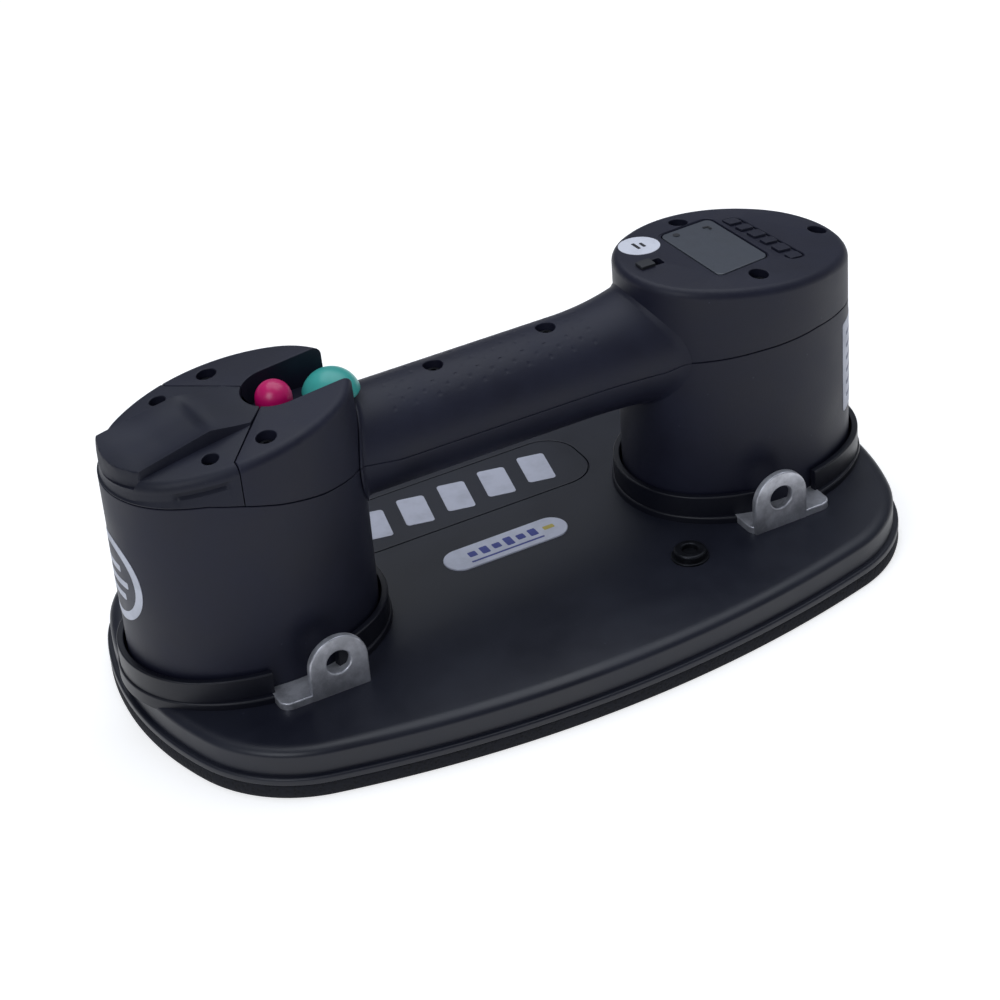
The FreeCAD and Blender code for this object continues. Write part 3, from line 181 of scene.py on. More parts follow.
def oval(half_x, half_y, end_arc, centre=(0.0, 0.0)):
    """Two end arcs joined by two flatter side arcs, tangent where they meet."""
    across = half_x - end_arc
    side = (across**2 + half_y**2 - end_arc**2) / (2 * (half_y - end_arc))
    meet = math.atan2(side - half_y, across)
    return Arcs([(meet, across, 0.0, end_arc), (math.pi / 2, 0.0, half_y - side, side)], centre)


def plate_outline():
    """The suction plate: end, corner and side arcs, each tangent to the next."""
    half_x, half_y = PLATE_HIGH[0] - 1.3, PLATE_HIGH[1] + 2.4
    side, end, corner = 420.0, 123.0, 50.0
    end_x, side_y = half_x - end, half_y - side
    r0, r1 = end - corner, side - corner
    apart = math.hypot(end_x, side_y)
    along = (r0**2 - r1**2 + apart**2) / (2 * apart)
    off = math.sqrt(r0**2 - along**2)
    ux, uy = -end_x / apart, side_y / apart
    x = end_x + along * ux - off * uy
    y = along * uy + off * ux
    if x < 0 or y < 0:
        x = end_x + along * ux + off * uy
        y = along * uy - off * ux
    first = math.atan2(y, x - end_x)
    second = math.atan2(y - side_y, x)
    return Arcs([
        (first, end_x, 0.0, end),
        (second, x, y, corner),
        (math.pi / 2, 0.0, side_y, side),
    ])


class Disc:
    """A circle."""

    def __init__(self, x, y, radius):
        self.x, self.y, self.radius = x, y, radius

    def loop(self, grow=0.0, count=40):
        turn = np.linspace(0, 2 * math.pi, count, endpoint=False)
        reach = self.radius + grow
        return np.stack([self.x + reach * np.cos(turn), self.y + reach * np.sin(turn)], -1)

    def outside(self, x, y):
        return np.hypot(x - self.x, y - self.y) - self.radius


class Block:
    """A rectangle with rounded corners, turned about its middle."""

    def __init__(self, x, y, half_x, half_y, corner, turn=0.0, skew=0.0):
        self.x, self.y, self.half = x, y, (half_x, half_y)
        self.corner, self.skew = corner, skew
        self.cos, self.sin = math.cos(turn), math.sin(turn)

    def loop(self, grow=0.0, count=8):
        quarter = np.linspace(0, math.pi / 2, count)
        reach = max(self.corner + grow, 0.0)
        parts = []
        for turn, (sx, sy) in enumerate(((1, 1), (-1, 1), (-1, -1), (1, -1))):
            angle = quarter + turn * math.pi / 2
            cx = sx * (self.half[0] - self.corner)
            cy = sy * (self.half[1] - self.corner)
            parts.append(np.stack([cx + reach * np.cos(angle), cy + reach * np.sin(angle)], -1))
        flat = np.concatenate(parts)
        flat[:, 1] += self.skew * flat[:, 0]
        x = self.x + flat[:, 0] * self.cos - flat[:, 1] * self.sin
        y = self.y + flat[:, 0] * self.sin + flat[:, 1] * self.cos
        return np.stack([x, y], -1)

    def outside(self, x, y):
        px = (x - self.x) * self.cos + (y - self.y) * self.sin
        py = -(x - self.x) * self.sin + (y - self.y) * self.cos
        py = py - self.skew * px
        qx = np.abs(px) - self.half[0] + self.corner
        qy = np.abs(py) - self.half[1] + self.corner
        beyond = np.hypot(np.maximum(qx, 0), np.maximum(qy, 0))
        return beyond + np.minimum(np.maximum(qx, qy), 0) - self.corner


class Polyline:
    """An open line of straight runs; outside is positive on its right-hand side."""

    def __init__(self, points):
        self.points = np.array(points, float)

    def line(self, grow=0.0):
        """The line moved to its right by grow, its corners mitred."""
        steps = np.diff(self.points, axis=0)
        normal = np.stack([steps[:, 1], -steps[:, 0]], -1)
        normal /= np.hypot(*normal.T)[:, None]
        before = np.concatenate([normal[:1], normal])
        after = np.concatenate([normal, normal[-1:]])
        mitre = before + after
        mitre /= np.maximum((mitre * before).sum(1), 1e-6)[:, None]
        return self.points + mitre * grow

    def outside(self, x, y):
        best = np.full(np.shape(x), 1e9)
        side = np.ones(np.shape(x))
        for start, end in zip(self.points, self.points[1:]):
            run = end - start
            size = np.hypot(*run)
            t = np.clip(((x - start[0]) * run[0] + (y - start[1]) * run[1]) / size**2, 0, 1)
            gap = np.hypot(x - start[0] - t * run[0], y - start[1] - t * run[1])
            turn = run[1] * (x - start[0]) - run[0] * (y - start[1])
            nearer = gap < best - 1e-9
            best = np.where(nearer, gap, best)
            side = np.where(nearer, np.sign(turn), side)
        return best * np.where(side == 0, 1, side)


# ---- surfaces ------------------------------------------------------------------------------------

def rounded(gap, radius):
    """Drop of a quarter-round edge at a distance in from it: nothing past the radius."""
    inside = np.clip(radius - gap, 0, radius)
    return radius - np.sqrt(np.maximum(radius**2 - inside**2, 0))


def sunk(gap, depth, lip=LIP, draft=0.04):
    """Drop of a recess: a rounded lip outside its outline, then a steep wall to its depth."""
    wall = np.clip(-gap / draft, 0, 1)
    return np.where(gap >= 0, rounded(gap, lip), lip + (depth - lip) * wall)


def raised(gap, height, lip=LIP, draft=0.04):
    """Rise of a boss: a steep wall just outside its outline and a rounded edge inside it."""
    wall = np.clip(1 - gap / draft, 0, 1)
    return np.where(gap <= 0, height - rounded(-gap, lip), (height - lip) * wall)


SUNK_GROWS = (LIP, LIP * 0.45, LIP * 0.12, 0.0, -0.04)


def sunk_loops(shapes, *count):
    """The outlines that the rounded lips and steep walls of recesses need."""
    return [shape.loop(grow, *count) for shape in shapes for grow in SUNK_GROWS]


class Builder:
    """Collects points and faces of one piece, in millimetres."""

    def __init__(self):
        self.points = []
        self.faces = []

    def add(self, points, faces):
        """More points, and faces that count from the first of them."""
        base = sum(len(part) for part in self.points)
        self.points.append(np.asarray(points, float).reshape(-1, 3))
        self.faces += [tuple(base + i for i in face) for face in faces]

    def grid(self, rows, closed=True, flip=False):
        """Rows of points joined into quads; closed joins the last column to the first."""
        rows = np.asarray(rows, float)
        high, wide = rows.shape[:2]
        index = np.arange(high * wide).reshape(high, wide)
        right = np.roll(index, -1, 1) if closed else index[:, 1:]
        left = index if closed else index[:, :-1]
        quads = np.stack([left[:-1], right[:-1], right[1:], left[1:]], -1).reshape(-1, 4)
        if flip:
            quads = quads[:, ::-1]
        self.add(rows, quads.tolist())

    def fan(self, ring, flip=False):
        """One flat face over a ring."""
        order = list(range(len(ring)))
        self.add(ring, [order[::-1] if flip else order])

    def mesh(self, name):
        """The points and faces in metres, with near points merged and slivers taken out."""
        mesh = bpy.data.meshes.new(name)
        mesh.from_pydata((np.concatenate(self.points) * MM).tolist(), [], self.faces)
        shape = bmesh.new()
        shape.from_mesh(mesh)
        bmesh.ops.remove_doubles(shape, verts=shape.verts, dist=MERGE * MM)
        bmesh.ops.dissolve_degenerate(shape, edges=shape.edges, dist=SLIVER * MM)
        bmesh.ops.recalc_face_normals(shape, faces=shape.faces)
        shape.to_mesh(mesh)
        shape.free()
        return mesh

    def finish(self, name, key, nodes=(), body="base", angle=38):
        """The piece itself, smooth apart from edges sharper than the angle, on its body."""
        mesh = self.mesh(name)
        mesh.polygons.foreach_set("use_smooth", np.ones(len(mesh.polygons), bool))
        mesh.set_sharp_from_angle(angle=math.radians(angle))
        mesh.materials.append(KIT[key])
        piece = bpy.data.objects.new(name, mesh)
        bpy.context.scene.collection.objects.link(piece)
        modifier = piece.modifiers.new("Weighted", "WEIGHTED_NORMAL")
        modifier.keep_sharp = True
        modifier.weight = 80
        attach(piece, body)
        if nodes:
            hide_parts(*nodes)


def plan_mesh(loops, lines, keep):
    """Triangles over the plan, cut along closed loops and open lines, where keep holds."""
    points, edges = [], []
    for run, closed in [(loop, True) for loop in loops] + [(line, False) for line in lines]:
        base = len(points)
        count = len(run)
        points += [Vector((float(x), float(y))) for x, y in run]
        last = count if closed else count - 1
        edges += [(base + i, base + (i + 1) % count) for i in range(last)]
    found, _, faces, *_ = delaunay_2d_cdt(points, edges, [], 0, 1e-5)
    flat = np.array([tuple(point) for point in found])
    triangles = np.array(faces)
    middle = flat[triangles].mean(1)
    triangles = triangles[keep(middle[:, 0], middle[:, 1])]
    used, triangles = np.unique(triangles, return_inverse=True)
    return flat[used], triangles.reshape(-1, 3)


def upright(u, v, level):
    """The plain way from a plan point and a height to its place."""
    return np.stack([u, v, level], -1)


def lathe(outline, angle, profile):
    """Rows of points: a profile of outward growth and level carried round an outline."""
    rows = []
    for grow, level in profile:
        flat = outline.points(angle, grow)
        rows.append(np.column_stack([flat, np.full(len(flat), level)]))
    return rows


def relief(builder, loops, keep, height, lines=(), rows=None, wrap=None, outward=None, closed=True):
    """A height over the plan with walls dropped from its edges, closed underneath.

    rows(x, y) gives the walls as pairs of an inset and a level, from the top down; wrap carries a
    plan point and its height to its place, and is the plain plan without one."""
    flat, triangles = plan_mesh(loops, lines, keep)
    x, y = flat.T
    wrap = wrap or upright
    builder.add(wrap(x, y, height(x, y)), triangles.tolist())
    if rows is None:
        return
    sides = np.concatenate([triangles[:, [0, 1]], triangles[:, [1, 2]], triangles[:, [2, 0]]])
    keys = np.sort(sides, 1)
    _, first, count = np.unique(keys, axis=0, return_index=True, return_counts=True)
    rim = sides[first[count == 1]]
    ring = np.unique(rim)
    place = {v: i for i, v in enumerate(ring.tolist())}
    rx, ry = flat[ring].T
    nx, ny = outward(rx, ry) if outward else (np.zeros(len(ring)), np.zeros(len(ring)))
    levels = [wrap(rx, ry, height(rx, ry))]
    for inset, level in rows(rx, ry):
        levels.append(wrap(rx - nx * inset, ry - ny * inset, level + 0 * rx))
    size = len(ring)
    pairs = np.array([[place[a], place[b]] for a, b in rim.tolist()])
    quads = []
    for row in range(len(levels) - 1):
        a, b = pairs.T + row * size
        quads += np.stack([a, a + size, b + size, b], -1).tolist()
    builder.add(np.concatenate(levels), quads)
    following = {a: b for a, b in pairs.tolist()} if closed else {}
    while following:
        start = next(iter(following))
        chain, here = [], start
        while here in following:
            chain.append(here)
            here = following.pop(here)
        if len(chain) > 2:
            builder.add(levels[-1][chain], [list(range(len(chain)))[::-1]])


def revolve(profile, x, y, count=64):
    """A profile of radius and height turned about an upright axis."""
    profile = np.asarray(profile, float)
    turn = np.linspace(0, 2 * math.pi, count, endpoint=False)
    radius, level = profile[:, :1], profile[:, 1:]
    return np.stack([
        x + radius * np.cos(turn),
        y + radius * np.sin(turn),
        np.broadcast_to(level, (len(profile), count)),
    ], -1)


def arc(cx, cz, radius, start, end, steps):
    """Points on an arc in the radius-height plane, angles in degrees."""
    turn = np.radians(np.linspace(start, end, steps))
    return [(cx + radius * math.cos(a), cz + radius * math.sin(a)) for a in turn]


# ---- materials ------------------------------------------------------------------------------------

class Wire:
    """A socket that Python's operators work on by adding Math nodes."""

    def __init__(self, graph, socket):
        self.graph, self.socket = graph, socket

    def __add__(self, other):
        return self.graph.node("ShaderNodeMath", {"operation": "ADD"}, {0: self, 1: other})

    def __mul__(self, other):
        return self.graph.node("ShaderNodeMath", {"operation": "MULTIPLY"}, {0: self, 1: other})


class Finish:
    """One material and the nodes behind it."""

    def __init__(self, name):
        self.material = bpy.data.materials.new("finish_" + name)
        self.material.use_nodes = True
        self.tree = self.material.node_tree
        self.shader = self.tree.nodes["Principled BSDF"]
        self.place = self.node("ShaderNodeTexCoord", {}, {}, "Object")

    def node(self, kind, settings, inputs, output=0):
        """A new node with its settings made and its inputs filled, as the wire of one output."""
        made = self.tree.nodes.new(kind)
        for name, value in settings.items():
            setattr(made, name, value)
        for name, value in inputs.items():
            self.put(made.inputs[name], value)
        return Wire(self, made.outputs[output])

    def put(self, socket, value):
        """A socket's link or its fixed value."""
        if isinstance(value, Wire):
            self.tree.links.new(value.socket, socket)
        else:
            socket.default_value = value

    def set(self, **values):
        """Fixed numbers and links for the shader's own sockets."""
        for name, value in values.items():
            self.put(self.shader.inputs[name.replace("_", " ").title().replace("Ior", "IOR")], value)

    def noise(self, scale, detail=3.0, rough=0.5, stretch=None):
        """Fractal noise over the piece, drawn out along an axis where stretch shrinks it."""
        place = self.place
        if stretch:
            place = self.node("ShaderNodeMapping", {}, {"Vector": place, "Scale": stretch})
        inputs = {"Vector": place, "Scale": scale, "Detail": detail, "Roughness": rough}
        return self.node("ShaderNodeTexNoise", {}, inputs)

    def cells(self, scale):
        """How far each place is from the nearest of many scattered points."""
        return self.node("ShaderNodeTexVoronoi", {}, {"Vector": self.place, "Scale": scale}, "Distance")

    def ramp(self, value, *stops):
        """A grey ramp between two stops, read as a number."""
        wire = self.node("ShaderNodeValToRGB", {}, {"Fac": value})
        for element, (position, level) in zip(wire.socket.node.color_ramp.elements, stops):
            element.position = position
            element.color = (level, level, level, 1.0)
        return wire

    def mix(self, factor, one, two):
        """A colour between two."""
        return self.node("ShaderNodeMix", {"data_type": "RGBA"}, {0: factor, 6: one, 7: two}, 2)

    def bump(self, height, strength, distance):
        """A normal that leans with the height."""
        inputs = {"Height": height, "Strength": strength, "Distance": distance}
        return self.node("ShaderNodeBump", {}, inputs)


def colour(red, green, blue):
    """A colour given as it looks on a screen, as the linear one that a socket takes."""
    def linear(level):
        level /= 255
        return level / 12.92 if level <= 0.04045 else ((level + 0.055) / 1.055) ** 2.4
    return (linear(red), linear(green), linear(blue), 1.0)


def dimmed(shade, share):
    """A colour's darker neighbour."""
    return tuple(level * share for level in shade[:3]) + (1.0,)


def shell_plastic(name, base, pale, rough=0.5, grain=0.25, gloss=0.3):
    """Moulded plastic with a spark-eroded grain, faint mottling and dusty light specks."""
    look = Finish(name)
    mottle = look.noise(28.0, 4.0, 0.6)
    fine = look.noise(1500.0, 2.0, 0.6)
    specks = look.ramp(look.noise(420.0, 2.0, 0.5), (0.76, 0.0), (0.82, 1.0))
    tone = look.mix(look.ramp(mottle, (0.35, 0.0), (0.7, 1.0)), base, pale)
    dusty = look.mix(specks * 0.2, tone, colour(96, 100, 116))
    look.set(base_color=dusty, roughness=look.ramp(mottle, (0.3, rough - 0.06), (0.7, rough + 0.08)))
    look.set(normal=look.bump(fine, grain, 0.00012), specular_ior_level=gloss)
    return look.material


def make_materials():
    """All the finishes by key: moulded shells, foam, steels, glossy buttons, prints, inner parts."""
    kit = {}
    kit["shell"] = shell_plastic("shell_black", colour(24, 25, 40), colour(31, 33, 50))
    kit["cap"] = shell_plastic("cap_black", colour(24, 26, 38), colour(31, 33, 48))
    for key, deep, pale, gloss in (
        ("collar", colour(15, 16, 26), colour(20, 22, 33), 0.35),
        ("plate", colour(19, 21, 33), colour(25, 28, 41), 0.42),
    ):
        kit[key] = shell_plastic(key + "_black", deep, pale, 0.4, 0.12, gloss)

    foam = Finish("foam_rubber")
    # The pores are sunk by the bump and painted darker at their middles: painted shade in the pores.
    pores = foam.ramp(foam.cells(700.0), (0.1, 0.0), (0.5, 1.0))
    soft = foam.noise(60.0, 4.0)
    foam.set(base_color=foam.mix(pores, colour(11, 12, 17), colour(23, 24, 32)), roughness=0.92)
    foam.set(normal=foam.bump(pores + soft * 0.5, 0.5, 0.0004))
    kit["foam"] = foam.material

    steel = Finish("lug_steel")
    brushed = steel.noise(900.0, 3.0, 0.6, (1.0, 1.0, 0.06))
    stains = steel.noise(90.0, 5.0, 0.65)
    stained = steel.ramp(stains, (0.4, 0.0), (0.62, 1.0))
    tone = steel.mix(stained, colour(168, 169, 176), colour(214, 215, 222))
    steel.set(base_color=tone, metallic=0.75, roughness=steel.ramp(brushed, (0.3, 0.32), (0.7, 0.5)))
    steel.set(normal=steel.bump(brushed + stains * 0.8, 0.22, 0.0002))
    kit["steel"] = steel.material

    black = Finish("black_steel")
    film = black.noise(300.0, 3.0)
    black.set(base_color=black.mix(film, colour(22, 23, 27), colour(44, 46, 52)), metallic=0.7)
    black.set(roughness=black.ramp(film, (0.3, 0.28), (0.7, 0.45)))
    black.set(normal=black.bump(film, 0.15, 0.0001))
    kit["black_steel"] = black.material

    for key, main, deep in (
        ("red", colour(208, 12, 106), colour(165, 4, 80)),
        ("green", colour(66, 176, 166), colour(48, 146, 140)),
    ):
        gloss = Finish(key + "_gloss")
        drift = gloss.noise(60.0, 3.0)
        gloss.set(base_color=gloss.mix(gloss.ramp(drift, (0.3, 0.0), (0.8, 1.0)), main, deep))
        gloss.set(roughness=gloss.ramp(drift, (0.3, 0.28), (0.7, 0.4)), specular_ior_level=0.5)
        gloss.set(normal=gloss.bump(gloss.noise(900.0), 0.06, 0.0001))
        kit[key] = gloss.material

    for key, base, rough in (
        ("sticker", colour(216, 218, 228), 0.55),
        ("badge", colour(206, 209, 224), 0.38),
        ("silver", colour(196, 198, 212), 0.36),
        ("pane", colour(68, 72, 80), 0.34),
        ("mark", colour(28, 30, 36), 0.6),
        ("print_grey", colour(120, 126, 150), 0.5),
        ("print_dark", colour(44, 46, 60), 0.5),
        ("print_blue", colour(62, 72, 150), 0.5),
        ("print_ochre", colour(196, 178, 84), 0.5),
    ):
        plain = Finish(key)
        soil = plain.noise(120.0, 4.0, 0.6)
        shade = plain.mix(plain.ramp(soil, (0.45, 0.0), (0.75, 1.0)), base, dimmed(base, 0.82))
        plain.set(base_color=shade)
        plain.set(roughness=plain.ramp(soil, (0.3, rough - 0.05), (0.7, rough + 0.08)))
        plain.set(normal=plain.bump(plain.noise(700.0), 0.08, 0.0001))
        kit[key] = plain.material

    for key, base, metal, rough in (
        ("brass", colour(190, 160, 90), 1.0, 0.35),
        ("spring", colour(160, 162, 168), 1.0, 0.3),
        ("motor", colour(150, 152, 158), 0.9, 0.35),
        ("hose", colour(30, 31, 34), 0.0, 0.6),
        ("sleeve", colour(40, 90, 150), 0.0, 0.35),
        ("board", colour(24, 88, 48), 0.0, 0.4),
        ("moulded_grey", colour(150, 150, 146), 0.0, 0.5),
        ("filter", colour(200, 198, 190), 0.0, 0.9),
    ):
        inner = Finish(key)
        grain = inner.noise(400.0, 3.0)
        inner.set(base_color=inner.mix(grain, base, dimmed(base, 0.75)), metallic=metal)
        inner.set(roughness=inner.ramp(grain, (0.3, rough), (0.7, min(rough + 0.12, 1.0))))
        inner.set(normal=inner.bump(grain, 0.1, 0.0001))
        kit[key] = inner.material
    return kit


KIT = make_materials()


# ---- shared forms of the towers --------------------------------------------------------------------

def tower(side, grow_x=0.0, grow_y=0.0):
    """A tower's outline; the battery's reaches a little further out than the gauge's."""
    more = 0.9 if side < 0 else 0.0
    half_x = TOWER_HALF_X + more + grow_x
    return oval(half_x, TOWER_HALF_Y + grow_y, TOWER_END_ARC + grow_x, (side * (TOWER_X + more), 0.0))


LEFT = tower(-1)
LEFT_RIM = tower(-1, -DRAFT, -DRAFT)
RIGHT = tower(1)


def plane_level(x, y=0.0):
    """The tops: they fall outward from each tower's middle, and rise a little off their rims."""
    reach = np.abs(x) - TOWER_X
    dome = 1 - (reach / TOWER_HALF_X) ** 2 - (np.asarray(y) / TOWER_HALF_Y) ** 2
    left = LEFT_TOP - LEFT_SLOPE * reach - LEFT_CROWN * np.maximum(reach, 0) ** 2 + LEFT_DOME * dome
    right = RIGHT_TOP - RIGHT_SLOPE * reach - RIGHT_CROWN * reach**2 + RIGHT_DOME * dome
    return np.where(np.asarray(x) < 0, left, right)


def parting_level(x):
    """The split between the shells, as heights at a few stations along X."""
    stations, levels = np.transpose([
        (-144.6, 96.8), (-121.0, 96.8), (-111.0, 94.8), (-97.0, 90.9), (-81.0, 87.2), (-67.0, 85.2),
        (-54.7, 83.2), (-46.0, GRIP_LEVEL), (46.0, GRIP_LEVEL - 0.6), (58.0, 81.4), (66.0, 83.4),
        (89.0, 85.4), (115.0, 86.2), (130.0, 85.2), (144.0, 83.0),
    ])
    return np.interp(x, stations, levels)


ROUND_INSETS = [TOP_ROUND * (1 - math.cos(math.radians(a))) for a in range(0, 91, 15)]


def rim_loops(outline, count=200):
    """The outlines that a top's rounded rim needs."""
    return [outline.loop(-inset, count) for inset in ROUND_INSETS]


def shell_rows(x, y):
    """Walls from the rim down to a rounded parting edge."""
    level = parting_level(x) + PART_GAP
    return [(0.0, level + 0.5), (0.12, level + 0.15), (PART_ROUND, level), (2.0, level)]


def screw_holes(spots, radius=SCREW_HOLE):
    """The counterbores at some screws' places."""
    return [Disc(x, y, radius) for x, y in spots]


def drilled(level, x, y, holes):
    """A surface level with the counterbores of screws taken out of it."""
    for hole in holes:
        level = level - sunk(hole.outside(x, y), SCREW_SINK)
    return level


# ---- right tower -----------------------------------------------------------------------------------

WINDOW_LEAN = (0.05, 0.17)
WINDOW_X, WINDOW_Y, _ = (WINDOW_LOW + WINDOW_HIGH) / 2 - (2.0, 0.0, 0.0)
WINDOW_HALF_X, WINDOW_HALF_Y = 12.6, 19.2
WINDOW_SINK, FRAME_SINK, STRIP_SINK, SLOT_SINK, RIB_RISE = 1.2, 0.4, 0.9, 2.4, 1.0
WINDOW = Block(WINDOW_X, WINDOW_Y, WINDOW_HALF_X, WINDOW_HALF_Y, 3.0, *WINDOW_LEAN)
FRAME = Block(
    WINDOW_X - 0.6, WINDOW_Y - 0.6, WINDOW_HALF_X + 0.7, WINDOW_HALF_Y + 0.7, 3.6, *WINDOW_LEAN
)
UNIT_SLOT = Block(TOWER_X - 33.0, 0.0, 4.5, 2.2, 0.6)
RIB_TURN = 0.13
RIB_LINE = np.linspace((111.0, 17.0), (115.4, -16.6), 6)
RIBS = [
    Block(x, y, 2.9, 2.0 if place % 2 else 2.4, 0.8, RIB_TURN) for place, (x, y) in enumerate(RIB_LINE)
]
STRIP = Block(113.4, 0.2, 3.9, 19.6, 2.4, RIB_TURN)


def make_right_top():
    """The gauge tower's top: a rounded rim, holes, the window's recess, a strip of ribs, a slot."""
    holes = screw_holes(RIGHT_SCREWS)
    loops = rim_loops(RIGHT) + sunk_loops(holes + [WINDOW, UNIT_SLOT])
    loops += [FRAME.loop(grow) for grow in (0.3, 0.1, 0.0)]
    loops += [STRIP.loop(grow) for grow in (0.25, 0.0, -0.1)]
    for rib in RIBS:
        loops += [rib.loop(grow, 4) for grow in (0.12, 0.0, -0.08, -0.25)]

    def height(x, y):
        level = plane_level(x, y) - rounded(-RIGHT.outside(x, y), TOP_ROUND)
        level = drilled(level, x, y, holes)
        step = sunk(FRAME.outside(x, y), FRAME_SINK, 0.3, 0.1)
        level = level - np.where(WINDOW.outside(x, y) > 0, step, FRAME_SINK)
        level = level - sunk(WINDOW.outside(x, y), WINDOW_SINK)
        level = level - sunk(STRIP.outside(x, y), STRIP_SINK, 0.25, 0.1)
        for rib in RIBS:
            level = level + raised(rib.outside(x, y), RIB_RISE, 0.25, 0.12)
        return level - sunk(UNIT_SLOT.outside(x, y), SLOT_SINK, 0.2)

    builder = Builder()
    relief(
        builder, loops, lambda x, y: RIGHT.outside(x, y) < -ON_LINE, height,
        rows=shell_rows, outward=RIGHT.outward,
    )
    builder.finish("tower_top_right", "shell", ["upper_shell"])


SEAM_OUTER, SEAM_INNER, SEAM_SIDE, SEAM_NOSE = -109.4, -90.0, 29.5, 8.0
SEAM = Polyline([
    (SEAM_OUTER, -80.0), (SEAM_OUTER, -SEAM_SIDE), (SEAM_INNER, -SEAM_NOSE),
    (SEAM_INNER, SEAM_NOSE), (SEAM_OUTER, SEAM_SIDE), (SEAM_OUTER, 80.0),
])
SEAM_GROWS = (0.0, 0.04, 0.15, 0.35)
BAY_WALL, BAY_FLOOR, BAY_PLAY = 2.4, 21.0, 0.1


def make_lower_towers():
    """Both towers up to the parting; the battery's has an open bay behind the seam's line."""
    def inside_bay(x, y):
        return np.maximum(LEFT.outside(x, y) + BAY_WALL, SEAM.outside(x, y) + BAY_PLAY)

    for outline, name in ((LEFT, "tower_left"), (RIGHT, "tower_right")):
        angle = outline.even(200)
        loops = [outline.points(angle, -inset) for inset in (0.0, 0.12, PART_ROUND)]
        lines = []
        if outline is LEFT:
            loops += [outline.points(angle, grow - BAY_WALL) for grow in SUNK_GROWS]
            lines = [SEAM.line(grow - BAY_PLAY) for grow in SUNK_GROWS]

        def height(x, y, outline=outline):
            level = parting_level(x) - 0.1 - rounded(-outline.outside(x, y), PART_ROUND)
            return level - sunk(inside_bay(x, y), level - BAY_FLOOR) * (outline is LEFT)

        def rows(x, y):
            return [(0.0, 60.0), (0.0, 30.0), (0.0, PLATE_TOP + 0.6), (0.6, PLATE_TOP)]

        builder = Builder()
        relief(
            builder, loops, lambda x, y, outline=outline: outline.outside(x, y) < -ON_LINE, height, lines,
            rows=rows, outward=outline.outward,
        )
        builder.finish(name, "shell", ["lower_shell"])


# ---- left tower top and the battery's cap -------------------------------------------------------------

class ButtonSlot:
    """Round at the battery end and open towards the grip."""

    def loop(self, grow=0.0):
        turn = np.radians(np.linspace(90, 270, 41))
        reach = SLOT_HALF + grow
        bend = np.stack([SLOT_CENTRE + reach * np.cos(turn), reach * np.sin(turn)], -1)
        return np.concatenate([[(-40.0, reach)], bend, [(-40.0, -reach)]])

    def outside(self, x, y):
        return np.where(x < SLOT_CENTRE, np.hypot(x - SLOT_CENTRE, y), np.abs(y)) - SLOT_HALF


SLOT = ButtonSlot()


def slotted(level, x, y):
    """A surface level with the buttons' slot taken out of it, down to the slot's floor."""
    gap = SLOT.outside(x, y)
    return level - sunk(gap, np.maximum(level - SLOT_FLOOR, LIP))


def make_left_top():
    """The battery tower's part of the top, on the grip's side of the seam."""
    holes = screw_holes(LEFT_SCREWS)
    loops = rim_loops(LEFT_RIM) + sunk_loops(holes)
    lines = sunk_loops([SLOT]) + [SEAM.line(grow) for grow in SEAM_GROWS]

    def height(x, y):
        level = plane_level(x, y) - rounded(-LEFT_RIM.outside(x, y), TOP_ROUND)
        level = drilled(level, x, y, holes)
        level = level - rounded(SEAM.outside(x, y), LIP)
        return slotted(level, x, y)

    def keep(x, y):
        return (LEFT_RIM.outside(x, y) < -ON_LINE) & (SEAM.outside(x, y) > ON_LINE)

    builder = Builder()
    relief(builder, loops, keep, height, lines, rows=left_rows, outward=left_outward)
    builder.finish("tower_top_left", "shell", ["upper_shell"])


def left_outward(x, y):
    """Outward from the tower's wall; the seam's own walls stay upright."""
    nx, ny = LEFT_RIM.outward(x, y)
    on_wall = LEFT_RIM.outside(x, y) > -0.02
    return nx * on_wall, ny * on_wall


def left_rows(x, y):
    """The wall leans outward by the draft on its way down to the parting edge."""
    level = parting_level(x) + PART_GAP
    return [(-DRAFT, level + 0.5), (0.12 - DRAFT, level + 0.15), (PART_ROUND - DRAFT, level)]


def smooth_step(value, low, high):
    """From 0 below low to 1 above high, level at both ends."""
    share = np.clip((value - low) / (high - low), 0, 1)
    return share * share * (3 - 2 * share)


def cap_rows(x, y):
    """As left_rows, with a finger groove along both sides of the tab's outer end."""
    groove = 1.3 * smooth_step(-x, 112.5, 114.5) * (1 - smooth_step(-x, 129.0, 131.0))
    under = plane_level(x, y) - TOP_ROUND - 0.6
    rows = [(-0.02, under), (groove - 0.05, under - 0.25)]
    rows += [(groove - 0.25, under - 2.0), (-0.3, under - 2.8)]
    return rows + left_rows(x, y)


TAB_OUTER, TAB_RIDGE, TAB_INNER = -143.4, -112.0, -92.0
TAB_MIDDLE, TAB_HALF, TAB_LIP, TAB_RISE, TAB_SKEW = -1.1, 14.4, 2.4, 4.8, 0.05
TAB_HOLLOW, TAB_FRONT, TAB_FALL, TAB_TILT = 3.0, 2.6, 4.4, 2.4


def tab_height(x, y):
    """The pull tab: a ramp up to a slanting ridge, hollowed across, then a fall to the nose."""
    along = x + TAB_SKEW * y
    ramp = np.clip((along - TAB_OUTER) / (TAB_RIDGE - TAB_OUTER), 0, 1)
    fall = np.clip((along - TAB_RIDGE) / (TAB_INNER - TAB_RIDGE), 0, 1)
    across = np.clip((y - TAB_MIDDLE) / TAB_HALF, -1, 1)
    hollow = TAB_HOLLOW * (1 - np.abs(across) ** 3) * smooth_step(ramp, 0.1, 0.6) * (1 - fall) ** 8
    tilt = TAB_TILT * (1 - ramp) * np.maximum(across, 0) ** 2
    climb = TAB_LIP + (TAB_RISE - TAB_LIP) * ramp + tilt
    rise = np.where(fall <= 0, climb, TAB_RISE * (1 - fall) ** 1.5)
    return (rise - hollow) * tab_side(y)


def tab_reach(y):
    """How much nearer the rim the tab's lip runs towards its far side."""
    return 2.3 * np.clip((y + TAB_HALF) / (2 * TAB_HALF), 0, 1)


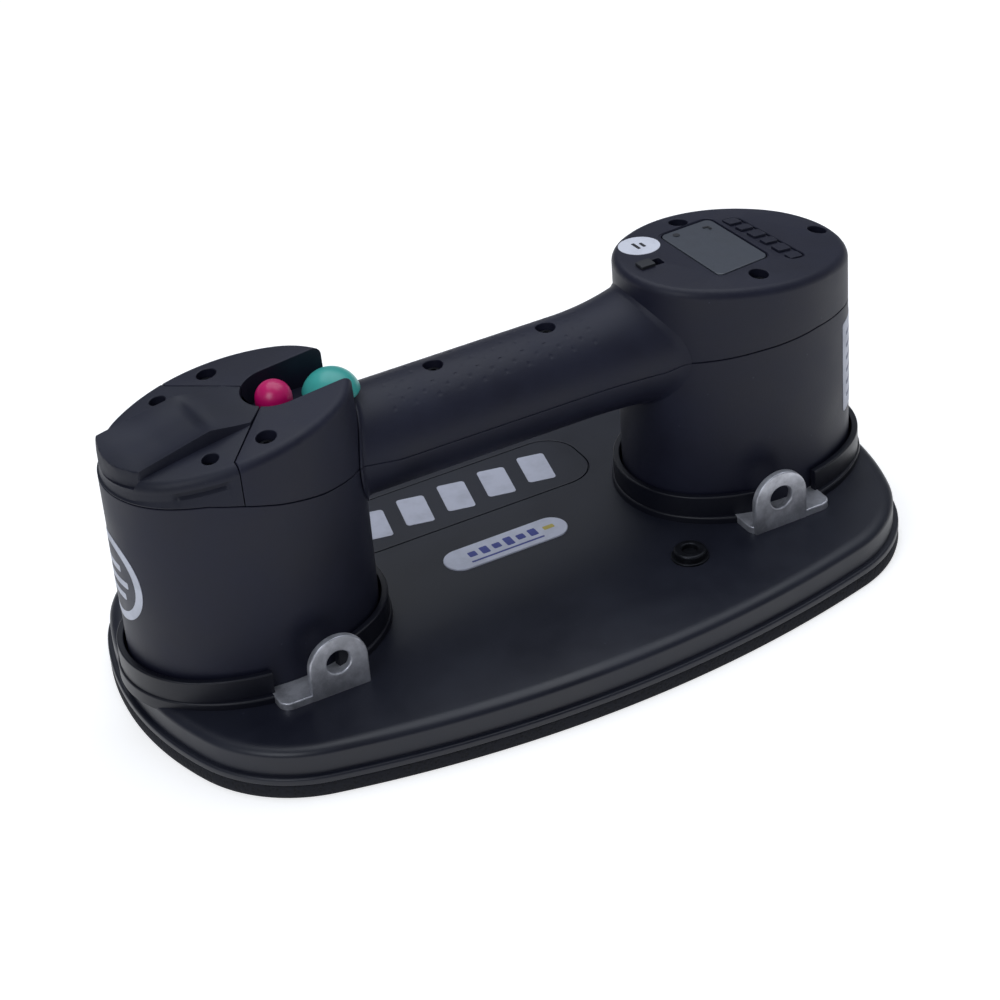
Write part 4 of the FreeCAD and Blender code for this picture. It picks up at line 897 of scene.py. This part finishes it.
def tab_front(edge):
    """The tab's outer end: a soft lip, a steep face and a narrow gutter along the rim."""
    face = 1 - smooth_step(edge, 1.2, TAB_FRONT)
    gutter = np.clip(edge / 1.2, 0, 1)
    return face * (TAB_FALL + 0.9 * gutter) + 0.5 * (1 - gutter) ** 3


def tab_side(y):
    """1 over the tab's width, falling to 0 at its sides."""
    return np.clip((TAB_HALF - np.abs(y - TAB_MIDDLE)) / 0.5, 0, 1)


def make_battery_cap():
    """The lift-out battery's lid: the same top plane, the tab over it and grooves in its wall."""
    holes = screw_holes(CAP_SCREWS, CAP_HOLE)
    loops = rim_loops(LEFT_RIM, 260)
    angle = LEFT_RIM.even(260)
    flat = LEFT_RIM.points(angle, 0.0)
    normal = np.stack(LEFT_RIM.outward(*flat.T), -1)
    for inset in (1.2, 1.7, 1.9, 2.4, 2.6):
        room = np.maximum(inset - tab_reach(flat[:, 1]), 0.02)
        loops.append(flat - normal * room[:, None])
    loops += sunk_loops(holes)
    lines = sunk_loops([SLOT])
    lines += [SEAM.line(-SEAM_GAP - grow) for grow in SEAM_GROWS]
    lean = TAB_SKEW * TAB_HALF
    ramp, fall = np.linspace(-139.0, TAB_RIDGE, 16), np.linspace(TAB_RIDGE, TAB_INNER, 16)
    for x in np.concatenate([ramp, fall]):
        lines.append(np.array([(x + lean, TAB_MIDDLE - TAB_HALF), (x - lean, TAB_MIDDLE + TAB_HALF)]))
    for reach in TAB_HALF - np.array([0.0, 0.12, 0.5, 1.6, 2.8, 4.2, 6.0, 8.5, 11.5]):
        for y in (TAB_MIDDLE - reach, TAB_MIDDLE + reach):
            lines.append(np.array([(-160.0, y), (TAB_INNER, y)]))

    def height(x, y):
        tab = tab_side(y) * (x < TAB_RIDGE - 2.0)
        edge = -LEFT_RIM.outside(x, y)
        round_off = rounded(edge, TOP_ROUND) * (1 - tab) + tab_front(edge + tab_reach(y)) * tab
        level = drilled(plane_level(x, y) - round_off, x, y, holes)
        level = level + tab_height(x, y)
        level = level - rounded(-SEAM.outside(x, y) - SEAM_GAP, LIP)
        return slotted(level, x, y)

    def keep(x, y):
        return (LEFT_RIM.outside(x, y) < -ON_LINE) & (SEAM.outside(x, y) < -SEAM_GAP - ON_LINE)

    builder = Builder()
    relief(builder, loops, keep, height, lines, rows=cap_rows, outward=left_outward)
    builder.finish("battery_cap_top", "cap", ["battery_cap"], "battery")


# ---- grip --------------------------------------------------------------------------------------------

FLARE_START, FLARE_END = 30.0, 68.0


def flare(x):
    """How far the grip has opened towards the gauge tower."""
    return np.clip((x - FLARE_START) / (FLARE_END - FLARE_START), 0, 1.1) ** 2


def grip_radius(x):
    """The grip's radius at a station."""
    return GRIP_RADIUS + 4.8 * flare(x)


def grip_axis(x):
    """The level of the grip's axis at a station."""
    return GRIP_AXIS + 2.0 * flare(x)


def wall_at(y):
    """How far out along X the towers' inner walls stand, on their end arcs."""
    reach = np.minimum(np.abs(y), TOWER_END_ARC - 1.0)
    return TOWER_X - TOWER_HALF_X + TOWER_END_ARC - np.sqrt(TOWER_END_ARC**2 - reach**2)


GRIP_END, STRETCH_FROM = 60.0, 36.0
SCREW_CLEAR = 6.5


def make_dimples():
    """Staggered rows of dimples along the grip's crest, clear of its screws."""
    found = []
    for place, x in enumerate(np.arange(-44.0, 36.0, 4.4)):
        for v in np.arange(-13.0, 14.0, 5.2) + (2.6 if place % 2 else 0.0):
            if max(abs(abs(x) - GRIP_SCREW_X), abs(v)) > SCREW_CLEAR:
                found.append(Disc(x, v, 0.8))
    return found


DIMPLES = make_dimples()


def grip_wrap(upper):
    """Carries the unrolled skin round the grip: u along it, v round it from the crest or the keel.

    Past STRETCH_FROM the stations are spread so that every line along the grip ends just inside the
    tower's wall, with a fillet that opens towards it."""
    def wrap(u, v, rise):
        share = v / (math.pi / 2 * GRIP_RADIUS)
        x = u + 0.0
        for _ in range(3):
            radius = grip_radius(x)
            axis = grip_axis(x)
            start = np.arcsin(np.clip((parting_level(x) - axis) / radius, -0.9, 0.9))
            half = math.pi / 2 - start if upper else math.pi / 2 + start
            angle = (math.pi / 2 if upper else -math.pi / 2) - share * half * (1 if upper else -1)
            y = radius * np.cos(angle)
            end = wall_at(y) + 0.8
            past = np.clip((np.abs(u) - STRETCH_FROM) / (GRIP_END - STRETCH_FROM), 0, 1)
            x = np.sign(u) * (np.minimum(np.abs(u), STRETCH_FROM) + past * (end - STRETCH_FROM))
        blend = np.where(u < 0, 2.2, 1.2)
        gap = end - 0.8 - np.abs(x)
        near = np.clip(blend - gap, 0, blend)
        fillet = blend - np.sqrt(np.maximum(blend**2 - near**2, 0))
        reach = radius + np.minimum(fillet, blend * 0.8) + rise
        z = axis + reach * np.sin(angle)
        z = np.where((u < -48) & upper, np.minimum(z, SLOT_FLOOR - 0.05), z)
        return np.stack([x, reach * np.cos(angle), z], -1)
    return wrap


def make_grip_half(upper):
    """One half of the grip's skin, unrolled; the upper one has the screws and the dimples."""
    quarter = math.pi / 2 * GRIP_RADIUS
    edge = [quarter, quarter - 0.06, quarter - 0.2, quarter - 0.4]
    levels = sorted(edge + [-v for v in edge] + list(np.linspace(-quarter + 1.6, quarter - 1.6, 33)))
    columns = np.concatenate([
        np.linspace(-GRIP_END, -46.0, 22), np.linspace(-44.0, 26.0, 16), np.linspace(28.0, GRIP_END, 33)
    ])
    lines = [np.column_stack([columns, np.full(len(columns), v)]) for v in levels]
    corners = ((-1, -1), (1, -1), (1, 1), (-1, 1))
    border = np.array([(u * GRIP_END, v * quarter) for u, v in corners])
    holes = screw_holes(GRIP_SCREWS) if upper else []
    dimples = DIMPLES if upper else []
    loops = [border] + sunk_loops(holes)
    for dimple in dimples:
        loops += [dimple.loop(grow, 10) for grow in (0.25, -0.25)]

    def height(u, v):
        level = drilled(-rounded(quarter - np.abs(v), 0.4) - 0.06, u, v, holes)
        for dimple in dimples:
            level = level - 0.15 * np.clip(0.5 - dimple.outside(u, v) / 0.5, 0, 1)
        return level

    builder = Builder()
    relief(
        builder, loops, lambda u, v: (np.abs(u) < GRIP_END) & (np.abs(v) < quarter),
        height, lines, rows=lambda u, v: [(0.0, -4.0)], wrap=grip_wrap(upper),
    )
    half = "upper" if upper else "lower"
    builder.finish("grip_" + half, "shell", [half + "_shell"])


# ---- plate, foam and collars ----------------------------------------------------------------------------

PLATE = plate_outline()
CHAMBER_EDGE, TOP_EDGE, LEDGE_EDGE = -24.0, -8.4, -2.0
RIM_ROUND, CHAMBER_DEPTH, PORT_DEPTH, PANEL_PLAY, PANEL_SINK = 0.9, 5.0, 3.0, 0.35, 1.2


def inlay_size():
    """The panel's middle and its half sizes."""
    low, high = INLAY_LOW, INLAY_HIGH
    return (low[1] + high[1]) / 2, (high[0] - low[0]) / 2, (high[1] - low[1]) / 2


def make_plate():
    """The rim's profile carried round the plate, the flat top with the panel's recess, and the ribbed
    chamber below, all as heights over the plan."""
    lip_low = FOAM_LOW[2] + 5.2
    seat = FOAM_HIGH[2]
    ledge = lip_low + 3.0
    band = ledge + 7.2
    profile = [(CHAMBER_EDGE, seat), (-4.1, seat), (-4.1, lip_low), (-RIM_ROUND, lip_low)]
    profile += arc(-RIM_ROUND, lip_low + RIM_ROUND, RIM_ROUND, -60, 0, 3)
    profile += arc(-RIM_ROUND, ledge - RIM_ROUND, RIM_ROUND, 0, 90, 4)
    profile += [(-1.75, ledge), (-1.95, ledge + 0.06), (LEDGE_EDGE, ledge + 0.25), (LEDGE_EDGE, band)]
    for t in np.radians(np.arange(10, 91, 10)):
        bulge = 4.8 * (1 - math.cos(t))
        profile.append((LEDGE_EDGE - bulge, band + (PLATE_TOP - band) * math.sin(t)))
    profile += [(TOP_EDGE, PLATE_TOP)]
    angle = PLATE.even(PLATE_POINTS)
    builder = Builder()
    builder.grid(lathe(PLATE, angle, profile))
    chamber_loops = [PLATE.points(angle, grow) for grow in (CHAMBER_EDGE, -29.8, -30.0, -30.2)]
    ribs = [Block(place * 41.4, 0.0, 1.2, 70.0, 0.4) for place in (-2, -1, 0, 1, 2)]
    ports = [Disc(-83.6, 0.0, 3.6), Disc(72.0, 0.0, 3.6)]
    for rib in ribs:
        chamber_loops += [rib.loop(grow, 3) for grow in (0.2, 0.0)]
    for port in ports:
        chamber_loops += [port.loop(grow) for grow in (0.0, -0.04)]

    def under(x, y):
        depth = CHAMBER_DEPTH * np.clip((-PLATE.outside(x, y) - 29.8) / 0.4, 0, 1)
        for rib in ribs:
            depth = depth * np.clip(rib.outside(x, y) / 0.2, 0, 1)
        for port in ports:
            depth = depth + PORT_DEPTH * np.clip(-port.outside(x, y) / 0.04, 0, 1)
        return seat + depth

    relief(builder, chamber_loops, lambda x, y: PLATE.outside(x, y) < CHAMBER_EDGE, under)
    middle, half_x, half_y = inlay_size()
    panel = Block(0.0, middle, half_x + PANEL_PLAY, half_y + PANEL_PLAY, 13.0)
    loops = [PLATE.points(angle, TOP_EDGE)] + sunk_loops([panel], 14)
    relief(
        builder, loops, lambda x, y: PLATE.outside(x, y) < TOP_EDGE,
        lambda x, y: PLATE_TOP - sunk(panel.outside(x, y), PANEL_SINK),
    )
    builder.finish("plate_body", "plate", ["base_plate"])


def make_foam():
    """A ring with a slightly bulged outer side, pressed flat below."""
    top = FOAM_HIGH[2]
    profile = [(-23.8, 0.0), (-0.8, 0.0), (-0.3, 0.3), (0.0, 1.4), (-0.2, 2.8), (-0.6, 4.4), (-1.0, 5.15)]
    profile += [(-4.2, 5.2), (-4.1, top), (-23.8, top)]
    builder = Builder()
    builder.grid(lathe(PLATE, PLATE.even(PLATE_POINTS), profile + profile[:1]))
    builder.finish("foam_ring", "foam", ["foam_seal"])


def open_run(outline, grow, near, far, count):
    """Normal angles round an outline from one X to another the long way, past the far side."""
    angle = np.linspace(-math.pi, math.pi, 4001)
    flat = outline.points(angle, grow)
    low = flat[:, 1] < 0
    first = angle[low][np.argmin(np.abs(flat[low, 0] - far))]
    last = angle[low][np.argmin(np.abs(flat[low, 0] - near))]
    run = np.mod(last - first, 2 * math.pi)
    here = first + np.linspace(0, run, count)
    return np.mod(here + math.pi, 2 * math.pi) - math.pi


def ring_run(builder, outline, profile, near, far):
    """A profile carried round an outline with a gap on the near side, its ends closed."""
    angle = open_run(outline, 2.0, near, far, 240)
    rows = np.array(lathe(outline, angle, profile + profile[:1]))
    builder.grid(rows, closed=False)
    builder.fan(rows[:-1, 0])
    builder.fan(rows[:-1, -1], flip=True)


COLLAR_IN, COLLAR_OUT, COLLAR_FOOT, LEDGE_RISE, LEDGE_WIDE = 0.9, 3.4, 15.6, 2.6, 2.6


def make_collars():
    """A wall round each tower and a low ledge round the wall, both open where the lugs stand."""
    wall = [(COLLAR_OUT, COLLAR_FOOT)]
    wall += arc(COLLAR_OUT - 0.6, COLLAR_TOP - 0.6, 0.6, 0, 90, 5)
    wall += arc(COLLAR_IN + 0.5, COLLAR_TOP - 0.5, 0.5, 90, 180, 5)
    wall += [(COLLAR_IN, COLLAR_FOOT)]
    crest = PLATE_TOP + LEDGE_RISE
    ledge = [(0.0, COLLAR_FOOT)] + arc(-0.8, crest - 0.8, 0.8, 0, 90, 5)
    ledge += [(-LEDGE_WIDE, crest), (-LEDGE_WIDE, COLLAR_FOOT)]
    builder = Builder()
    for side in (-1, 1):
        ends = sorted([side * 85.0, side * 109.6])
        ring_run(builder, tower(side), wall, *ends)
        ring_run(builder, tower(side, COLLAR_OUT + 0.7, COLLAR_OUT + 2.2), ledge, *ends)
    builder.finish("collar_rings", "collar", ["base_plate"])


# ---- panel, badge and stickers -------------------------------------------------------------------------

def tile(builder, shape, top, thick, lip=0.3, lift=None, wrap=None, count=None, lines=()):
    """A flat tile with rounded edges."""
    grows = (0.0, -lip * 0.12, -lip * 0.45, -lip)
    loops = [shape.loop(grow, count) if count else shape.loop(grow) for grow in grows]
    lift = lift or (lambda x, y: 0 * x)
    relief(
        builder, loops, lambda x, y: shape.outside(x, y) < -ON_LINE,
        lambda x, y: top + lift(x, y) - rounded(-shape.outside(x, y), lip),
        rows=lambda x, y: [(0.0, top + lift(x, y) - thick)], wrap=wrap, lines=lines,
    )


def tiles(name, key, shapes, *sizes, nodes=(), **ways):
    """A piece made of flat tiles with one finish, one level and one thickness."""
    builder = Builder()
    for shape in shapes:
        tile(builder, shape, *sizes, **ways)
    builder.finish(name, key, nodes)


def make_inlay():
    """The panel between the towers and five plain slanted bars on it."""
    middle, half_x, half_y = inlay_size()
    face = [Block(0.0, middle, half_x, half_y, 12.6)]
    tiles("panel_face", "plate", face, INLAY_HIGH[2], PANEL_SINK, nodes=["inlay_panel"], count=14)
    bars = [Block((place - 2) * 17.2, middle, 5.4, 9.2, 1.4, -0.22) for place in range(5)]
    tiles("panel_bars", "silver", bars, INLAY_HIGH[2] + 0.12, 0.3, 0.12)


def make_badge():
    """The pale pill with a row of plain bars, a line under them and a small spot."""
    half_x, half_y, _ = (BADGE_HIGH - BADGE_LOW) / 2
    top = BADGE_HIGH[2]
    pill = [Block(0.0, 0.0, half_x, half_y, half_y - 0.01)]
    tiles("badge_pill", "badge", pill, top, 0.7, 0.35, nodes=["badge_plate"], count=14)
    halves = (1.6, 2.2, 1.6, 2.6, 1.6, 2.2)
    bars = [Block(-13.5 + 5.0 * place, 0.6, 1.6, half, 0.5) for place, half in enumerate(halves)]
    bars.append(Block(-1.0, -3.9, 15.0, 0.45, 0.3))
    tiles("badge_bars", "print_blue", bars, top + 0.06, 0.2, 0.06)
    tiles("badge_spot", "print_ochre", [Block(18.0, 0.4, 2.2, 1.1, 0.4)], top + 0.06, 0.2, 0.06)


# ---- lugs and plug -----------------------------------------------------------------------------------

LUG_THICK, LUG_UNDER = 2.7, 6.0
EAR_X, EAR_HALF, EAR_EDGE, EAR_PROUD, EAR_SUNK = 89.0, 11.0, 0.55, 0.15, 1.0
EYE_RISE, EYE_RADIUS = 12.3, 4.5


class Ear:
    """A half-round top on straight sides, its foot sunk a little into the plate."""

    def __init__(self, x, crown):
        self.x, self.crown, self.foot = x, crown, PLATE_TOP - EAR_SUNK

    def loop(self, grow=0.0):
        turn = np.radians(np.linspace(0, 180, 33))
        reach = EAR_HALF + grow
        bend = np.stack([self.x + reach * np.cos(turn), self.crown + reach * np.sin(turn)], -1)
        foot = [(self.x - reach, self.foot - grow), (self.x + reach, self.foot - grow)]
        return np.concatenate([bend, foot])

    def outside(self, x, z):
        round_top = np.hypot(x - self.x, z - self.crown) - EAR_HALF
        straight = np.maximum(np.abs(x - self.x) - EAR_HALF, self.foot - z)
        return np.where(z > self.crown, round_top, straight)


def make_lug(name, side):
    """A flat foot with rounded outer corners, and an ear with an eye that stands up from its edge."""
    x_low, x_high = (LUG_LOW[0], LUG_HIGH[0]) if side > 0 else (-LUG_HIGH[0], -LUG_LOW[0])
    front, back = LUG_LOW[1], LUG_HIGH[1] + LUG_UNDER
    builder = Builder()
    foot = Block((x_low + x_high) / 2, (front + back) / 2, (x_high - x_low) / 2, (back - front) / 2, 4.0)
    tile(builder, foot, PLATE_TOP + LUG_THICK, LUG_THICK, 0.5)
    ear = Ear(side * EAR_X, LUG_HIGH[2] - EAR_HALF)
    eye = Disc(ear.x, PLATE_TOP + EYE_RISE, EYE_RADIUS)
    grows = (0.0, -EAR_EDGE * 0.12, -EAR_EDGE * 0.45, -EAR_EDGE)
    loops = [ear.loop(grow) for grow in grows]
    loops += [eye.loop(-grow) for grow in grows]

    def face(x, z):
        return -rounded(-ear.outside(x, z), EAR_EDGE) - rounded(eye.outside(x, z), EAR_EDGE)

    def keep(x, z):
        return (ear.outside(x, z) < -ON_LINE) & (eye.outside(x, z) > ON_LINE)

    for flip in (1, -1):
        def wrap(x, z, rise, flip=flip):
            level = front + LUG_THICK / 2 - EAR_PROUD
            return np.stack([x, level - flip * (LUG_THICK / 2 + rise), z], -1)

        relief(
            builder, loops, keep, face,
            rows=lambda x, z: [(0.0, -LUG_THICK / 2)], wrap=wrap, closed=False,
        )
    builder.finish(name + "_plate", "steel", [name])


def make_plug():
    """A low plug with a round socket, on a washer."""
    x, y, _ = (PLUG_LOW + PLUG_HIGH) / 2
    radius, seat = 5.9, PLATE_TOP + 0.8
    top = PLUG_HIGH[2]
    builder = Builder()
    profile = [(0.01, top - 1.8), (2.9, top - 1.8), (3.0, top - 0.3)]
    profile += arc(3.7, top - 0.5, 0.5, 150, 90, 4) + arc(radius - 0.9, top - 0.9, 0.9, 90, 0, 6)
    profile += [(radius, seat), (0.01, seat)]
    builder.grid(revolve(profile, x, y))
    builder.finish("plug_head", "black_steel", ["plug_screw"])
    ring = Builder()
    profile = [(0.01, seat)] + arc(6.6, seat - 0.3, 0.3, 90, 0, 4) + [(6.9, PLATE_TOP), (0.01, PLATE_TOP)]
    ring.grid(revolve(profile, x, y))
    ring.finish("plug_ring", "black_steel", ["plug_washer"])


# ---- screws, buttons, window, switch ------------------------------------------------------------------

def screw_head(builder, x, y, top, turn=0.3, radius=3.2):
    """A pan head with a hexagon socket."""
    head = Disc(x, y, radius)
    angles = np.linspace(0, 2 * math.pi, 6, endpoint=False) + turn
    hexagon = np.stack([x + 1.5 * np.cos(angles), y + 1.5 * np.sin(angles)], -1)
    lower = np.stack([x + 1.4 * np.cos(angles), y + 1.4 * np.sin(angles)], -1)
    loops = [head.loop(grow, 36) for grow in (0.0, -0.1, -0.4, -0.9, -1.3)] + [hexagon, lower]

    def height(u, v):
        gap = np.hypot(u - x, v - y)
        inside = gap < 1.45
        return top - rounded(radius - gap, 1.1) * 0.9 - 1.5 * inside

    relief(
        builder, loops, lambda u, v: head.outside(u, v) < -ON_LINE, height,
        rows=lambda u, v: [(0.0, top - SCREW_SINK + SCREW_TOP)],
    )


def make_screws():
    """The heads in the tower tops and the grip, and those in the battery's lid."""
    shell, cap = Builder(), Builder()
    for x, y in LEFT_SCREWS + RIGHT_SCREWS:
        screw_head(shell, x, y, plane_level(x, y) - SCREW_TOP, 0.4 + y)
    for x, y in GRIP_SCREWS:
        screw_head(shell, x, y, GRIP_AXIS + GRIP_RADIUS - SCREW_TOP, x)
    for x, y in CAP_SCREWS:
        screw_head(cap, x, y, plane_level(x, y) - SCREW_TOP, y, 2.7)
    shell.finish("shell_screw_heads", "black_steel", ["shell_screws"])
    cap.finish("cap_screw_heads", "black_steel", ["cap_screws"], "battery")


# Finish, place along the grip, radius, crest's level and dome's height of each button.
BUTTONS = {
    "red_button": ("red", -82.0, 6.4, 115.8, 6.3),
    "green_button": ("green", -61.0, 10.0, 113.0, 7.4),
}
STEM_RADIUS, STEM_FOOT = 3.0, 93.0


def make_button(name):
    """A ball's cap with a rounded foot, over its stem."""
    key, x, radius, crest, dome = BUTTONS[name]
    ball = (radius**2 + dome**2) / (2 * dome)
    under = SLOT_FLOOR + 2.2
    edge = math.asin(1 - dome / ball)
    turn = np.linspace(math.pi / 2, edge, 22)
    profile = [(max(ball * math.cos(a), 0.01), crest - ball + ball * math.sin(a)) for a in turn]
    profile += [(radius, under + 0.5), (radius - 0.15, under + 0.15), (radius - 0.5, under)]
    profile += [(STEM_RADIUS, under), (STEM_RADIUS, STEM_FOOT), (0.01, STEM_FOOT)]
    builder = Builder()
    builder.grid(revolve(profile, x, 0.0, 96), flip=True)
    builder.finish(name + "_dome", key, [name], name, 50)


def make_window():
    """The gauge's pane, laid in its recess."""
    pane = [Block(WINDOW_X, WINDOW_Y, WINDOW_HALF_X - 0.45, WINDOW_HALF_Y - 0.45, 2.6, *WINDOW_LEAN)]
    tiles("window_pane", "pane", pane, -FRAME_SINK, 1.1, nodes=["display_window"], lift=plane_level)


def make_unit_switch():
    """The slide switch's knob, a little larger than the solid that it stands for."""
    low, high = box("unit_switch")
    half_x, half_y, _ = (high - low) / 2
    builder = Builder()
    shape = Block((low[0] + high[0]) / 2 - 0.8, -0.3, half_x + 0.6, half_y + 0.5, 0.4)
    tile(builder, shape, 1.2, 3.2, 0.25, lift=plane_level)
    builder.finish("unit_knob", "mark", ["unit_switch"], "unit_switch")


def on_wall(outline, start):
    """Carries a flat label onto a tower's wall: u runs round it from a start angle, v is the height."""
    def wrap(u, v, rise):
        angle = outline.angle_at(u, start)
        flat = outline.points(angle, rise)
        return np.stack([flat[..., 0], flat[..., 1], v], -1)
    return wrap


def make_stickers():
    """Plain labels with generic printed bars: a round one by the switch, one on each tower's end."""
    tiles("top_sticker", "sticker", [Disc(70.1, 14.7, 7.6)], 0.08, 0.2, 0.05, lift=plane_level, count=64)
    prints = Builder()
    for x, y, half in ((68.9, 14.9, 2.6), (71.4, 14.5, 1.8)):
        tile(prints, Block(x, y, 0.6, half, 0.3), 0.11, 0.1, 0.03, lift=plane_level)
    tile(prints, Disc(86.4, 15.8, 1.3), -0.36, 0.1, 0.03, lift=plane_level, count=24)
    for shape in (Block(99.6, 16.9, 1.3, 0.5, 0.3), Block(100.5, 16.0, 0.5, 1.3, 0.3)):
        tile(prints, shape, -0.37, 0.1, 0.03, lift=plane_level)
    prints.finish("top_prints", "mark")

    bends = [np.array([(u, 0.0), (u, 100.0)]) for u in np.arange(-17.0, 41.0, 1.0)]
    side = {"wrap": on_wall(RIGHT, math.atan2(-29.0, 20.0)), "lines": bends}
    label = [Block(20.0, 60.0, 20.0, 18.5, 1.5)]
    tiles("side_label", "sticker", label, 0.16, 0.2, 0.05, count=6, **side)
    halves = (7.0, 13.0, 10.0, 14.0, 9.0, 12.0)
    bars = [Block(3.5 + half, 73.0 - 5.2 * place, half, 0.8, 0.4) for place, half in enumerate(halves)]
    tiles("side_label_bars", "print_grey", bars, 0.2, 0.1, 0.03, count=4, **side)

    end = {"wrap": on_wall(LEFT, math.pi - 0.097), "lines": bends}
    tiles("end_sticker", "sticker", [Disc(0.0, 60.5, 16.5)], 0.16, 0.2, 0.05, count=96, **end)
    tiles("end_sticker_field", "print_dark", [Disc(0.0, 60.5, 13.2)], 0.2, 0.1, 0.03, count=96, **end)
    bars = [Block(0.0, 66.0 - 5.5 * place, half, 1.3, 0.5) for place, half in enumerate((6.0, 9.5, 7.0))]
    tiles("end_sticker_bars", "sticker", bars, 0.24, 0.1, 0.03, count=4, **end)


# ---- carried-over pieces, light and camera --------------------------------------------------------------

CARRIED = {
    "lug_screws": "black_steel", "base_screws": "black_steel", "chamber_filter": "filter",
    "battery_case": "cap", "battery_cells": "sleeve", "battery_terminals": "brass", "bay_blades": "brass",
    "red_spring": "spring", "green_spring": "spring", "release_valve": "moulded_grey",
    "power_switch": "mark", "vent_hose": "hose", "vacuum_hose": "hose", "gauge_module": "moulded_grey",
    "control_board": "board", "pump_motor": "motor", "motor_shaft": "spring", "pump_head": "moulded_grey",
}


def dress_carried_nodes():
    """Finishes for the solids that stay as they are."""
    for node, key in CARRIED.items():
        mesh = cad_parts[node].data
        mesh.materials.clear()
        mesh.materials.append(KIT[key])


# Turns are the azimuth, elevation and roll in degrees; the rest is in millimetres.
CAMERA_TURNS, CAMERA_AIM = (-25.974, 32.954, -4.829), (-0.75, 0.372, 37.669)
CAMERA_REACH, CAMERA_LENS = 1010.42, 100.93


def make_camera():
    """A long lens that looks down at the near side from the battery tower's end."""
    bpy.context.scene.view_settings.view_transform = "Standard"
    azimuth, elevation, roll = (math.radians(a) for a in CAMERA_TURNS)
    level = math.cos(elevation)
    back = Vector((math.sin(azimuth) * level, -math.cos(azimuth) * level, math.sin(elevation)))
    right = Vector((math.cos(azimuth), math.sin(azimuth), 0))
    up = back.cross(right)
    across = math.cos(roll) * right + math.sin(roll) * up
    rise = -math.sin(roll) * right + math.cos(roll) * up
    turn = Matrix((across, rise, back)).transposed()
    data = bpy.data.cameras.new("camera")
    data.sensor_width = 36.0
    data.lens = CAMERA_LENS
    camera = bpy.data.objects.new("camera", data)
    place = Vector(CAMERA_AIM) * MM + back * CAMERA_REACH * MM
    camera.matrix_world = Matrix.Translation(place) @ turn.to_4x4()
    bpy.context.scene.collection.objects.link(camera)
    bpy.context.scene.camera = camera


# Place and size in metres, and power; each lamp is aimed at the part's middle.
LAMPS = {
    "key": ((-0.85, -0.55, 0.95), (0.7, 0.7), 5.4),
    "top": ((0.3, 0.35, 1.3), (1.7, 1.3), 14.0),
    "right": ((1.1, -0.3, 0.7), (0.7, 0.7), 0.2),
}
LAMP_AIM, LAMP_COLOUR = Vector((0, 0, 0.05)), (0.88, 0.93, 1.0)
FLOOR_SHARE, FLOOR_GLOW = 0.27, 2.3
SKY_COLOUR, SKY_POWER = (0.84, 0.89, 1.0, 1), 0.19


def make_lamp(name):
    """A rectangular lamp that faces the part."""
    place, size, power = LAMPS[name]
    data = bpy.data.lights.new(name, "AREA")
    data.shape = "RECTANGLE"
    data.size, data.size_y = size
    data.energy = power
    data.color = LAMP_COLOUR
    lamp = bpy.data.objects.new(name, data)
    lamp.location = place
    lamp.rotation_euler = (LAMP_AIM - Vector(place)).to_track_quat("-Z", "Y").to_euler()
    bpy.context.scene.collection.objects.link(lamp)


def make_stage():
    """A white floor that glows to the camera and in reflections, a pale sky and the lamps."""
    mesh = bpy.data.meshes.new("floor")
    mesh.from_pydata([(-4, -4, 0), (4, -4, 0), (4, 4, 0), (-4, 4, 0)], [], [(0, 1, 2, 3)])
    floor = bpy.data.objects.new("floor", mesh)
    bpy.context.scene.collection.objects.link(floor)
    pale = Finish("floor_white")
    pale.set(base_color=(0.9, 0.9, 0.9, 1), roughness=0.9)
    tree = pale.tree
    seen = pale.node("ShaderNodeLightPath", {}, {}, "Is Camera Ray")
    for kind in ("Is Glossy Ray", "Is Transmission Ray"):
        seen = seen + pale.node("ShaderNodeLightPath", {}, {}, kind)
    glow = tree.nodes.new("ShaderNodeEmission")
    glow.inputs["Color"].default_value = (1, 1, 1, 1)
    glow.inputs["Strength"].default_value = FLOOR_GLOW
    mix = tree.nodes.new("ShaderNodeMixShader")
    tree.links.new((seen * FLOOR_SHARE).socket, mix.inputs[0])
    tree.links.new(pale.shader.outputs[0], mix.inputs[1])
    tree.links.new(glow.outputs[0], mix.inputs[2])
    tree.links.new(mix.outputs[0], tree.nodes["Material Output"].inputs[0])
    mesh.materials.append(pale.material)
    floor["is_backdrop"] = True
    world = bpy.data.worlds.new("studio")
    world.use_nodes = True
    bpy.context.scene.world = world
    sky = world.node_tree.nodes["Background"].inputs
    sky[0].default_value, sky[1].default_value = SKY_COLOUR, SKY_POWER
    for name in LAMPS:
        make_lamp(name)


# ---- the whole -----------------------------------------------------------------------------------------

make_plate()
make_foam()
make_collars()
make_lower_towers()
make_right_top()
make_left_top()
make_battery_cap()
make_grip_half(True)
make_grip_half(False)
make_inlay()
make_badge()
make_lug("lug_left", -1)
make_lug("lug_right", 1)
make_plug()
make_screws()
for button in BUTTONS:
    make_button(button)
make_window()
make_unit_switch()
make_stickers()
dress_carried_nodes()
make_stage()
make_camera()

sizes = [list(corner) for corner in (cad_low, cad_high, *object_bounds())]
